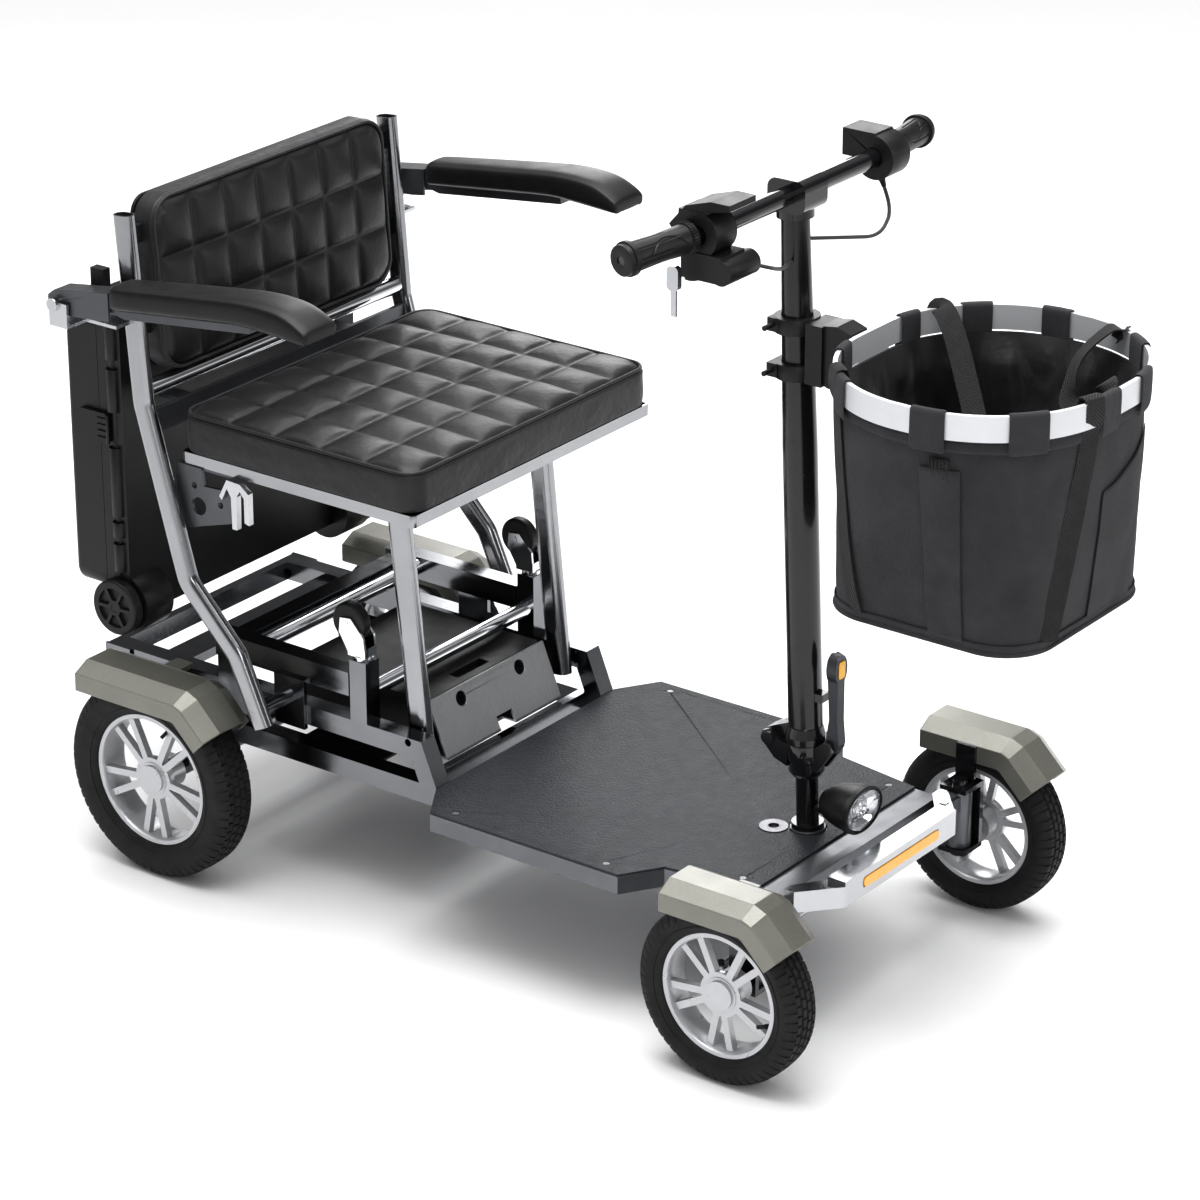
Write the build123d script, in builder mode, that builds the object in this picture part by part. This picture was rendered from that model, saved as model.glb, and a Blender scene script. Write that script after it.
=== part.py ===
from build123d import *
import os
from math import sin, cos, tan, radians, degrees, atan2, sqrt, pi

# Folding four-wheel mobility scooter. Millimetres, +Z up, the rider faces -Y,
# +X is the rider's left. Origin on the floor under the middle of the outline.
os.makedirs("parts", exist_ok=True)

# ---------------------------------------------------------------- dimensions
FW_X, FW_Y, FW_R = 265.0, -350.0, 108.0      # front wheel centre and radius
RW_X, RW_Y, RW_R = 252.0, 496.0, 127.0       # rear wheel centre and radius
FW_HALF, RW_HALF = 25.0, 27.5                # half tyre widths
KP_X = 212.0                                 # kingpin offset from the centre
RAIL = 25.0                                  # square frame tube
RAIL_IN, RAIL_OUT = 150.0, 175.0             # inner and outer faces of the side rails
DECK_TOP, DECK_BOT, MAT_T = 180.0, 158.0, 3.0
Y_COL, Z_COL = -277.0, 173.2                 # steering axis foot
RAKE = radians(2.561)
S, C = sin(RAKE), cos(RAKE)
HINGE_Y, HINGE_Z = -232.0, 292.0             # column fold hinge
POST_X = 240.0                               # back posts
LEG_X = 135.0                                # front legs of the seat
SEAT_FRONT, SEAT_REAR, SEAT_HALF = 115.5, 465.0, 228.0
PAN_BOT, PAN_TOP, CUSHION_TOP = 532.6, 547.3, 601.0
ARM_X = 290.0
ARM_PIN = (580.0, 728.0)
CASE_HALF, CASE_Y0, CASE_YM, CASE_Y1 = 215.0, 568.0, 605.0, 657.0
BAR_Y, BAR_Z = -246.0, 944.0
BASKET_Y = -430.0 - 72.0
RIM_TOP, RIM_BOT = 807.0, 778.0


def col_plane(h):
    return Plane(origin=(0, Y_COL + h * S, Z_COL + h * C), x_dir=(1, 0, 0), z_dir=(0, S, C))


COL_AXIS = Axis((0, Y_COL, Z_COL), (0, S, C))
COL_SIDE = Plane(origin=(0, Y_COL, Z_COL), x_dir=(1, 0, 0), z_dir=(0, -C, S))


def hz(z):
    return (z - Z_COL) / C


SIDES = (("left", 1), ("right", -1))

# ---------------------------------------------------------------- wheels
for where, wx, wy, wr, half, face_r in (
    ("front", FW_X, FW_Y, FW_R, FW_HALF, 75.0),
    ("rear", RW_X, RW_Y, RW_R, RW_HALF, 84.0),
):
    for side, s in SIDES:
        face = Plane(origin=(s * wx, wy, wr), x_dir=(0, 1, 0), z_dir=(s, 0, 0))
        section = Plane(origin=(s * wx, wy, wr), x_dir=(1, 0, 0), z_dir=(0, -1, 0))
        spin = Axis((s * wx, wy, wr), (1, 0, 0))
        b = half - 7.0
        with BuildPart() as tyre:
            with BuildSketch(section) as profile:
                with BuildLine():
                    Polyline(
                        (-b, face_r), (b, face_r), (half - 1.5, face_r + 7), (half, wr - 15),
                        (half - 8, wr), (-half + 8, wr), (-half, wr - 15), (-half + 1.5, face_r + 7),
                        close=True,
                    )
                make_face()
                fillet([v for v in profile.vertices() if abs(v.Z) > wr + face_r + 2], radius=4.5)
            revolve(axis=spin)
        tyre.part.label = f"{where}_tyre_{side}"
        export_step(tyre.part, f"parts/{where}_tyre_{side}.step")

        with BuildPart() as rim:
            # barrel with a rolled lip at the outer edge
            with BuildSketch(section):
                with BuildLine():
                    Polyline(
                        (-b, face_r), (b, face_r), (b, face_r - 5), (b - 6, face_r - 7),
                        (-b + 4, face_r - 7), (-b, face_r - 5), close=True,
                    )
                make_face()
            revolve(axis=spin)
            # hub barrel
            with BuildSketch(face.offset(-b)):
                Circle(21)
            extrude(amount=2 * b - 4)
            # five pairs of spokes, dished slightly inboard
            with BuildSketch(face.offset(b - 14)):
                Circle(27)
                for k in range(5):
                    for d in (-11.5, 11.5):
                        a = radians(90 + 72 * k + d)
                        with Locations(Location(((face_r / 2 + 4) * cos(a), (face_r / 2 + 4) * sin(a), 0), (0, 0, degrees(a)))):
                            Rectangle(face_r - 12, 8.5)
            extrude(amount=9)
            with BuildSketch(face.offset(b - 5)):
                Circle(17)
            extrude(amount=4)
            # blind bearing bore
            with BuildSketch(face.offset(-b)):
                Circle(6.05)
            extrude(amount=2 * b - 7, mode=Mode.SUBTRACT)
        rim.part.label = f"{where}_rim_{side}"
        export_step(rim.part, f"parts/{where}_rim_{side}.step")

# ---------------------------------------------------------------- fenders
FENDER = [
    (-39, -35), (-39, -12), (-18, 0), (18, 0), (39, -12), (39, -35), (36.5, -35),
    (36.5, -13.4), (17.3, -2.5), (-17.3, -2.5), (-36.5, -13.4), (-36.5, -35),
]
for side, s in SIDES:
    with BuildPart() as fender:
        with BuildLine() as run:
            Polyline((s * FW_X, -283, 236), (s * FW_X, -397, 236), (s * FW_X, -413, 229.4), (s * FW_X, -449, 193.4))
        with BuildSketch(Plane(origin=(s * FW_X, -283, 236), x_dir=(1, 0, 0), z_dir=(0, -1, 0))):
            with BuildLine():
                Polyline(*FENDER, close=True)
            make_face()
        sweep(path=run.line, transition=Transition.RIGHT)
    fender.part.label = f"front_fender_{side}"
    export_step(fender.part, f"parts/front_fender_{side}.step")

FENDER_R = [(x * 1.09, z) for x, z in FENDER]
with BuildPart() as rear_fenders:
    for side, s in SIDES:
        with BuildLine() as run:
            Polyline((s * RW_X, 592, 262), (s * RW_X, 432, 262), (s * RW_X, 416, 255.5), (s * RW_X, 380.5, 220))
        with BuildSketch(Plane(origin=(s * RW_X, 592, 262), x_dir=(1, 0, 0), z_dir=(0, -1, 0))):
            with BuildLine():
                Polyline(*FENDER_R, close=True)
            make_face()
        sweep(path=run.line, transition=Transition.RIGHT)
    for s in (1, -1):
        # stay from the middle rail to the fender's inner lip
        with Locations((s * 192.2, 520, 241.0)):
            Box(34.6, 26, 6)
rear_fenders.part.label = "rear_fenders"
export_step(rear_fenders.part, "parts/rear_fenders.step")

# ---------------------------------------------------------------- steering knuckles, tie rod
for side, s in SIDES:
    with BuildPart() as knuckle:
        for z in (95.0, 175.0):
            with Locations((s * 216, FW_Y, z)):
                Box(40, 36, 6)
        with Locations((s * 232.5, FW_Y, 135)):
            Box(7, 36, 86)
        with Locations((s * KP_X, FW_Y, 136)):
            Cylinder(5, 96)
        with Locations((s * KP_X, FW_Y, 181)):
            Cylinder(9, 6)
        with Locations((s * KP_X, FW_Y, 89)):
            Cylinder(9, 6)
        # stub axle
        with BuildSketch(Plane(origin=(s * 234, FW_Y, FW_R), x_dir=(0, 1, 0), z_dir=(s, 0, 0))):
            Circle(6)
        extrude(amount=37)
        with BuildSketch(Plane(origin=(s * 235, FW_Y, FW_R), x_dir=(0, 1, 0), z_dir=(s, 0, 0))):
            Circle(12)
        extrude(amount=11.5)
        # steering arm and its stud
        with Locations((s * KP_X, -317, 95)):
            Box(16, 46, 6)
        with Locations((s * KP_X, -305, 101.5)):
            Cylinder(4, 13)
        # upright that carries the fender
        with Locations((s * 223.7, FW_Y, 200)):
            Box(4.6, 26, 48)
    knuckle.part.label = f"knuckle_{side}"
    export_step(knuckle.part, f"parts/knuckle_{side}.step")

with BuildPart() as tie_rod:
    with BuildSketch(Plane(origin=(-205, -305, 102), x_dir=(0, 1, 0), z_dir=(1, 0, 0))):
        Circle(4)
    extrude(amount=410)
    with BuildSketch(Plane.XY.offset(99)):
        with Locations((-KP_X, -305), (KP_X, -305)):
            Circle(10)
    extrude(amount=6)
    with Locations((0, -267, 102)):
        Box(20, 84, 6)
    with BuildSketch(Plane.XY.offset(98)):
        with Locations((-KP_X, -305), (KP_X, -305)):
            Circle(4.05)
        with Locations((0, -234.5)):
            Circle(5.0)
    extrude(amount=8, mode=Mode.SUBTRACT)
tie_rod.part.label = "tie_rod"
export_step(tie_rod.part, "parts/tie_rod.step")

# ---------------------------------------------------------------- deck
DECK = [
    (-176.7, 131), (176.7, 131), (229.5, 98), (229.5, -173), (182, -204), (164, -318), (164, -350),
    (-164, -350), (-164, -318), (-182, -204), (-229.5, -173), (-229.5, 98),
]
with BuildPart() as deck_frame:
    with BuildSketch(Plane.XY.offset(DECK_BOT)):
        with BuildLine():
            Polyline(*DECK, close=True)
        make_face()
    extrude(amount=DECK_TOP - DECK_BOT)
    # folded tray: open underneath
    with BuildSketch(Plane.XY.offset(DECK_BOT)) as hollow:
        with BuildLine():
            Polyline(*DECK, close=True)
        make_face()
        offset(amount=-3, mode=Mode.REPLACE)
        with Locations((0, Y_COL)):
            Circle(30, mode=Mode.SUBTRACT)
        for x in (-100, 100):
            with Locations((x, -110)):
                Rectangle(25, 500, mode=Mode.SUBTRACT)
    extrude(amount=DECK_TOP - DECK_BOT - 3, mode=Mode.SUBTRACT)
    # front cross tube, a little taller than the tray
    with Locations((0, -347, 169.5)):
        Box(328, 12, 25)
    # kingpin barrels and the arms that carry them
    for s in (1, -1):
        with Locations((s * KP_X, FW_Y, 135)):
            Cylinder(15, 73)
        with Locations((s * 184, -349, 169)):
            Box(40, 14, 5)
        with Locations((s * 182, FW_Y, 157)):
            Box(40, 18, 20)
        with Locations((s * KP_X, FW_Y, 135)):
            Cylinder(5.05, 80, mode=Mode.SUBTRACT)
    # bearing flange at the foot of the column, and its bore
    with BuildSketch(col_plane(hz(180))):
        Circle(21)
    extrude(amount=4.5)
    with BuildSketch(col_plane(hz(140))):
        Circle(11.05)
    extrude(amount=60, mode=Mode.SUBTRACT)
deck_frame.part.label = "deck_frame"
export_step(deck_frame.part, "parts/deck_frame.step")

MAT = [
    (-176, 130.5), (176, 130.5), (229, 97.5), (229, -172.7), (181.6, -203.6), (163.5, -318),
    (-163.5, -318), (-181.6, -203.6), (-229, -172.7), (-229, 97.5),
]
SCREWS = [(213, 72), (-213, 72), (213, -145), (-213, -145), (150, -290), (-150, -290)]
with BuildPart() as deck_mat:
    with BuildSketch(Plane.XY.offset(DECK_TOP)):
        with BuildLine():
            Polyline(*MAT, close=True)
        make_face()
        with Locations((0, Y_COL + 0.5)):
            Circle(22.5, mode=Mode.SUBTRACT)
        with Locations(*SCREWS):
            Circle(4.2, mode=Mode.SUBTRACT)
        with Locations((-22, -244)):
            Circle(17.2, mode=Mode.SUBTRACT)
    extrude(amount=MAT_T)
deck_mat.part.label = "deck_mat"
export_step(deck_mat.part, "parts/deck_mat.step")

with BuildPart() as deck_screws:
    for p in SCREWS:
        with Locations((p[0], p[1], DECK_TOP + 1.2)):
            Cylinder(4.0, 2.4)
    # oval grommet plate beside the column foot
    with BuildSketch(Plane.XY.offset(DECK_TOP)):
        with Locations((-22, -244)):
            Circle(17)
            Circle(6.5, mode=Mode.SUBTRACT)
        with Locations((0, Y_COL + 0.5)):
            Circle(22.4, mode=Mode.SUBTRACT)
    extrude(amount=MAT_T + 1)
deck_screws.part.label = "deck_fasteners"
export_step(deck_screws.part, "parts/deck_fasteners.step")

with BuildPart() as bumper:
    with BuildSketch(Plane.XY.offset(165)):
        with BuildLine():
            Polyline((-115, -405), (115, -405), (160, -366), (160, -353.2), (146, -353.2), (108, -381), (-108, -381), (-146, -353.2), (-160, -353.2), (-160, -366), close=True)
        make_face()
    extrude(amount=26)
    with Locations((0, -393, 181.5)):
        Box(230, 24, 31)
    # stepped shoulders
    with Locations((-132, -378, 178.5), (132, -378, 178.5)):
        Box(8, 8, 27)
    with Locations((0, -404, 181)):
        Box(156, 4, 12.2, mode=Mode.SUBTRACT)
bumper.part.label = "bumper"
export_step(bumper.part, "parts/bumper.step")

with BuildPart() as reflector:
    with BuildSketch(Plane(origin=(0, -402, 181), x_dir=(1, 0, 0), z_dir=(0, -1, 0))):
        SlotOverall(155.5, 12)
    extrude(amount=4.2)
reflector.part.label = "bumper_reflector"
export_step(reflector.part, "parts/bumper_reflector.step")

# ---------------------------------------------------------------- rear side frames
for side, s in SIDES:
    with BuildPart() as side_frame:
        xm = s * (RAIL_IN + RAIL / 2)
        # bottom, middle and upper rails
        with Locations((xm, (131.5 + 520) / 2, 170)):
            Box(RAIL, 520 - 131.5, RAIL)
        with Locations((xm, (160 + 646) / 2, 223.5)):
            Box(RAIL, 646 - 160, RAIL)
        with Locations((xm, (262 + 470) / 2, 281)):
            Box(RAIL, 470 - 262, 30)
        # slanted front upright
        with BuildSketch(Plane(origin=(s * RAIL_OUT, 0, 0), x_dir=(0, 1, 0), z_dir=(1, 0, 0))):
            with BuildLine():
                Polyline((131.5, 182), (157, 182), (179, 236), (153.5, 236), close=True)
            make_face()
        extrude(amount=-s * RAIL)
        # rear uprights between the rails
        with Locations((xm, 452, 197)):
            Box(RAIL, 30, 30)
        with Locations((xm, 452, 251)):
            Box(RAIL, 30, 32)
        # caster post
        with Locations((xm, 247.5, 274)):
            Box(RAIL, RAIL, 80)
        # rear end plate with its hole
        with Locations((s * (RAIL_OUT + 2), 628, 220)):
            Box(4, 40, 32)
        with BuildSketch(Plane(origin=(s * 140, 632, 221), x_dir=(0, 1, 0), z_dir=(s, 0, 0))):
            Circle(4.5)
        extrude(amount=60, mode=Mode.SUBTRACT)
        # round hole behind the upright
        with BuildSketch(Plane(origin=(s * 140, 173, 230), x_dir=(0, 1, 0), z_dir=(s, 0, 0))):
            Circle(4.6)
        extrude(amount=60, mode=Mode.SUBTRACT)
        # plate and stub that hold the foot of the back post
        with Locations((s * 178, 350, 238)):
            Box(6, 46, 64)
        with BuildSketch(Plane(origin=(s * 178, 350, 246), x_dir=(0, 1, 0), z_dir=(s, 0, 0))):
            Circle(9)
        extrude(amount=52.8)
    side_frame.part.label = f"side_frame_{side}"
    export_step(side_frame.part, f"parts/side_frame_{side}.step")

with BuildPart() as cross_members:
    with Locations((0, 447, 281)):
        Box(299.6, 26, 24)
    with Locations((0, 640, 223.5)):
        Box(299.6, 12, 25)
    with Locations((0, 560, 223.5)):
        Box(299.6, 40, 12)
    with Locations((0, 160, 170)):
        Box(299.6, 12, 25)
    with Locations((0, 330, 168)):
        Box(299.6, 40, 12)
    # axle beam, its hangers and stub axles
    with BuildSketch(Plane(origin=(-216, RW_Y, RW_R), x_dir=(0, 1, 0), z_dir=(1, 0, 0))):
        Circle(14)
    extrude(amount=432)
    with BuildSketch(Plane(origin=(-264, RW_Y, RW_R), x_dir=(0, 1, 0), z_dir=(1, 0, 0))):
        Circle(6)
    extrude(amount=528)
    for s in (1, -1):
        with Locations((s * 162.5, RW_Y, 141)):
            Box(24, 44, 32.9)
cross_members.part.label = "cross_members"
export_step(cross_members.part, "parts/cross_members.step")

with BuildPart() as chrome_tubes:
    for y, z in ((247.5, 270.0), (417.0, 284.0)):
        with BuildSketch(Plane(origin=(-149.9, y, z), x_dir=(0, 1, 0), z_dir=(1, 0, 0))):
            Circle(10)
        extrude(amount=299.8)
    with BuildSketch(Plane(origin=(-230.9, 512, 614.4), x_dir=(0, 1, 0), z_dir=(1, 0, 0))):
        Circle(11)
    extrude(amount=461.8)
chrome_tubes.part.label = "chrome_tubes"
export_step(chrome_tubes.part, "parts/chrome_tubes.step")

with BuildPart() as battery:
    with Locations((0, 299, 215)):
        Box(220, 206, 78)
    fillet(battery.edges().filter_by(Axis.Z), radius=6)
    # carrying grip recess in the top, near the front
    with Locations((-5, 215, 252)):
        Box(60, 16, 12, mode=Mode.SUBTRACT)
    with Locations((0, 299, 175.5)):
        Box(299.6, 120, 3)
battery.part.label = "battery_pack"
export_step(battery.part, "parts/battery_pack.step")

with BuildPart() as battery_panel:
    with BuildSketch(Plane(origin=(-112, 0, 0), x_dir=(0, 1, 0), z_dir=(1, 0, 0))):
        with BuildLine():
            Polyline((163, 186), (167, 186), (195.5, 254), (191.5, 254.8), close=True)
        make_face()
    extrude(amount=224)
    with Locations((0, 179, 187.5)):
        Box(224, 32, 3)
    panel = Plane(origin=(0, 180, 228), x_dir=(1, 0, 0), z_dir=(0, -0.9225, 0.386))
    with BuildSketch(panel.offset(-20)):
        with Locations((-57, 14), (57, 14)):
            Circle(9)
        with Locations((6, -38)):
            Rectangle(30, 22)
    extrude(amount=40, mode=Mode.SUBTRACT)
battery_panel.part.label = "battery_panel"
export_step(battery_panel.part, "parts/battery_panel.step")

# ---------------------------------------------------------------- seat frame
POST = ((340, 228), (377, 312), (450, 388), (509.5, 600), (528, 829))   # Y, Z along the back post
with BuildPart() as seat_tubes:
    for s in (1, -1):
        pts = [(s * POST_X, y, z) for y, z in POST]
        with BuildLine() as run:
            FilletPolyline(*pts, radius=34)
        with BuildSketch(Plane(origin=run.line @ 0, x_dir=(1, 0, 0), z_dir=run.line % 0)):
            with Locations(Location((0, 0, 0), (0, 0, 90))):
                SlotOverall(28, 18)
        sweep(path=run.line)
        # front leg
        with BuildSketch(Plane(origin=(s * LEG_X, 182.2, 207), x_dir=(1, 0, 0), z_dir=(0, 0.1015, 0.9948))):
            with Locations(Location((0, 0, 0), (0, 0, 90))):
                SlotOverall(31, 20)
        extrude(amount=325.0)
        # pivot bolt from the leg's foot to the middle rail
        with BuildSketch(Plane(origin=(s * (LEG_X + 8), 184.2, 223), x_dir=(0, 1, 0), z_dir=(s, 0, 0))):
            Circle(5)
        extrude(amount=6.9)
    # open tops of the back posts
    for s in (1, -1):
        with BuildSketch(Plane(origin=(s * POST_X, 527.2, 820), x_dir=(1, 0, 0), z_dir=(0, 0.0805, 0.9968))):
            with Locations(Location((0, 0, 0), (0, 0, 90))):
                SlotOverall(23, 13)
        extrude(amount=30, mode=Mode.SUBTRACT)
    # trim the posts where the stub of the side frame enters them
    for s in (1, -1):
        with BuildSketch(Plane(origin=(s * 225, 350, 246), x_dir=(0, 1, 0), z_dir=(s, 0, 0))):
            Circle(9.05)
        extrude(amount=6, mode=Mode.SUBTRACT)
seat_tubes.part.label = "seat_frame_tubes"
export_step(seat_tubes.part, "parts/seat_frame_tubes.step")

with BuildPart() as seat_brackets:
    for s in (1, -1):
        with BuildSketch(Plane(origin=(s * 226.4, 0, 0), x_dir=(0, 1, 0), z_dir=(1, 0, 0))):
            with BuildLine():
                Polyline((472, 505), (470, 532.5), (432, 532.5), (429, 511), (390, 513), (386, 474), (455, 453), (463, 470), close=True)
            make_face()
            with Locations((438, 484)):
                Circle(11, mode=Mode.SUBTRACT)
            with Locations((444, 509), (404, 493)):
                Circle(4, mode=Mode.SUBTRACT)
        extrude(amount=s * 4.0)
        # flange under the seat pan
        with Locations((s * 217.5, 430, 531)):
            Box(21, 80, 3)
    # flat bar between the back posts, and the case carriers behind it
    with Locations((0, 502, 577)):
        Box(461.8, 6, 30)
    with Locations((-150, 536.4, 577), (150, 536.4, 577)):
        Box(24, 63, 5)
seat_brackets.part.label = "seat_brackets"
export_step(seat_brackets.part, "parts/seat_brackets.step")

with BuildPart() as silver_brackets:
    # latch hooks on the seat brackets
    for s in (1, -1):
        with BuildSketch(Plane(origin=(s * 231.0, 0, 0), x_dir=(0, 1, 0), z_dir=(1, 0, 0))):
            with BuildLine():
                Polyline((398, 509), (394, 505), (386, 521), (380, 512), (379, 472), (372, 472), (371, 514), (366, 522), (360, 514), (360, 484), (353, 482), (353, 521), (366, 531), (386, 532), close=True)
            make_face()
        extrude(amount=s * 8)
        # arm carriers: clamp plate on the back post, tray and two ears
        with Locations((s * 262.8, 545, 703)):
            Box(27.4, 62, 4)
        with Locations((s * 251, 541.5, 716)):
            Box(4, 55, 30)
        with Locations((s * 272, 574, 716)):
            Box(4, 28, 30)
        with Locations((s * 308, 574, 716)):
            Box(4, 28, 30)
        with Locations((s * 290, 574, 703)):
            Box(40, 28, 4)
        with BuildSketch(Plane(origin=(s * 270, ARM_PIN[0], ARM_PIN[1]), x_dir=(0, 1, 0), z_dir=(s, 0, 0))):
            Circle(5)
        extrude(amount=44)
        with BuildSketch(Plane(origin=(s * 268, ARM_PIN[0], ARM_PIN[1]), x_dir=(0, 1, 0), z_dir=(s, 0, 0))):
            Circle(8)
        extrude(amount=2)
        with BuildSketch(Plane(origin=(s * 310, ARM_PIN[0], ARM_PIN[1]), x_dir=(0, 1, 0), z_dir=(s, 0, 0))):
            Circle(8)
        extrude(amount=4)
silver_brackets.part.label = "silver_brackets"
export_step(silver_brackets.part, "parts/silver_brackets.step")

with BuildPart() as seat_pan:
    with BuildSketch(Plane.XY.offset(PAN_BOT)):
        with Locations((0, (SEAT_FRONT + SEAT_REAR) / 2)):
            Rectangle(2 * SEAT_HALF, SEAT_REAR - SEAT_FRONT)
    extrude(amount=PAN_TOP - PAN_BOT)
    fillet(seat_pan.edges().filter_by(Axis.Z), radius=6)
    with BuildSketch(Plane.XY.offset(PAN_TOP)):
        with Locations((0, (SEAT_FRONT + SEAT_REAR) / 2)):
            Rectangle(2 * SEAT_HALF - 6, SEAT_REAR - SEAT_FRONT - 6)
    extrude(amount=-8, mode=Mode.SUBTRACT)
seat_pan.part.label = "seat_pan"
export_step(seat_pan.part, "parts/seat_pan.step")

with BuildPart() as seat_cushion:
    with BuildSketch(Plane.XY.offset(PAN_TOP)):
        with Locations((0, (SEAT_FRONT + SEAT_REAR) / 2)):
            RectangleRounded(2 * SEAT_HALF + 4, SEAT_REAR - SEAT_FRONT + 2, 14)
    extrude(amount=CUSHION_TOP - PAN_TOP)
    fillet(seat_cushion.faces().sort_by(Axis.Z)[-1].edges(), radius=5)
    with BuildSketch(Plane.XY.offset(PAN_TOP - 7.9)):
        with Locations((0, (SEAT_FRONT + SEAT_REAR) / 2)):
            Rectangle(2 * SEAT_HALF - 6.4, SEAT_REAR - SEAT_FRONT - 6.4)
    extrude(amount=7.9)
seat_cushion.part.label = "seat_cushion"
export_step(seat_cushion.part, "parts/seat_cushion.step")

BACK = Plane(origin=(0, 497.0, 736.0), x_dir=(1, 0, 0), z_dir=(0, -0.9978, 0.0668))
with BuildPart() as back_cushion:
    with BuildSketch(BACK.offset(-40)):
        RectangleRounded(424, 214, 26)
    extrude(amount=38)
    fillet(back_cushion.faces().sort_by(Axis.Y)[0].edges(), radius=6)
back_cushion.part.label = "back_cushion"
export_step(back_cushion.part, "parts/back_cushion.step")

with BuildPart() as back_board:
    with BuildSketch(BACK.offset(-44)):
        RectangleRounded(420, 210, 24)
    extrude(amount=3.9)
    # lugs to the back posts
    for s in (1, -1):
        for z in (690, 800):
            yb = 541.0 + (z - 736) * 0.067
            with Locations((s * 210.5, yb + 1.6, z)):
                Box(41, 4, 22)
            with Locations((s * 221.9, yb - 8, z)):
                Box(18.2, 24, 22)
        # stop block outboard of the post
        with Locations((s * 259, 552, 748)):
            Box(12, 20, 34)
back_board.part.label = "back_board"
export_step(back_board.part, "parts/back_board.step")

# ---------------------------------------------------------------- armrests
for side, s in SIDES:
    with BuildPart() as arm:
        with BuildSketch(Plane(origin=(min(s * 276, s * 304), 0, 0), x_dir=(0, 1, 0), z_dir=(1, 0, 0))):
            with BuildLine():
                Polyline((594, 722), (594, 736), (584, 743.5), (500, 756), (500, 722), (520, 719), (584, 714), close=True)
            make_face()
        extrude(amount=28)
        # channel section: open towards the floor
        with BuildSketch(Plane(origin=(min(s * 279, s * 301), 0, 0), x_dir=(0, 1, 0), z_dir=(1, 0, 0))):
            with BuildLine():
                Polyline((600, 700), (600, 733), (583, 740), (496, 752.5), (496, 700), close=True)
            make_face()
        extrude(amount=22, mode=Mode.SUBTRACT)
        # web between the cheeks around the pin
        with BuildSketch(Plane(origin=(s * 279, ARM_PIN[0], ARM_PIN[1]), x_dir=(0, 1, 0), z_dir=(s, 0, 0))):
            Circle(10)
        extrude(amount=22)
        # bar that runs on under the pad
        with BuildSketch(Plane(origin=(min(s * 281, s * 299), 0, 0), x_dir=(0, 1, 0), z_dir=(1, 0, 0))):
            with BuildLine():
                Polyline((530, 748.2), (530, 738), (480, 727), (290, 750), (290, 759.5), (488, 735.8), (500, 752.5), close=True)
            make_face()
        extrude(amount=18)
        with BuildSketch(Plane(origin=(s * 270, ARM_PIN[0], ARM_PIN[1]), x_dir=(0, 1, 0), z_dir=(s, 0, 0))):
            Circle(5.06)
        extrude(amount=44, mode=Mode.SUBTRACT)
    arm.part.label = f"arm_channel_{side}"
    export_step(arm.part, f"parts/arm_channel_{side}.step")

    with BuildPart() as pad:
        with BuildSketch(Plane(origin=(s * ARM_X - 30, 0, 0), x_dir=(0, 1, 0), z_dir=(1, 0, 0))):
            with BuildLine():
                Polyline((488, 736.2), (488, 769), (285, 797), (225, 794), (192, 776), (192, 758), (285, 761.0), close=True)
            make_face()
        extrude(amount=60)
        fillet([e for e in pad.edges() if abs(e.center().X - s * ARM_X) < 1 and e.center().Y < 200], radius=5)
    pad.part.label = f"arm_pad_{side}"
    export_step(pad.part, f"parts/arm_pad_{side}.step")

# ---------------------------------------------------------------- small casters on the posts
for side, s in SIDES:
    xm = s * 162.5
    with BuildPart() as fork:
        with Locations((xm, 247.5, 317.0)):
            Cylinder(12.0, 5.4)
        with Locations((xm, 250, 325)):
            Box(22, 26, 12)
        for d in (-9.6, 9.6):
            with BuildSketch(Plane(origin=(xm + d - 1.5, 0, 0), x_dir=(0, 1, 0), z_dir=(1, 0, 0))):
                with BuildLine():
                    Polyline((237, 322), (262, 322), (276, 346), (274, 364), (258, 366), (239, 345), close=True)
                make_face()
            extrude(amount=3)
        with BuildSketch(Plane(origin=(xm - 12, 265, 358), x_dir=(0, 1, 0), z_dir=(1, 0, 0))):
            Circle(3)
        extrude(amount=24)
    fork.part.label = f"caster_fork_{side}"
    export_step(fork.part, f"parts/caster_fork_{side}.step")
    with BuildPart() as cwheel:
        with BuildSketch(Plane(origin=(xm - 7.5, 265, 358), x_dir=(0, 1, 0), z_dir=(1, 0, 0))):
            Circle(24.5)
            Circle(3.06, mode=Mode.SUBTRACT)
        extrude(amount=15)
        fillet([e for e in cwheel.edges().filter_by(GeomType.CIRCLE) if e.radius > 20], radius=4)
    cwheel.part.label = f"caster_wheel_{side}"
    export_step(cwheel.part, f"parts/caster_wheel_{side}.step")

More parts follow.
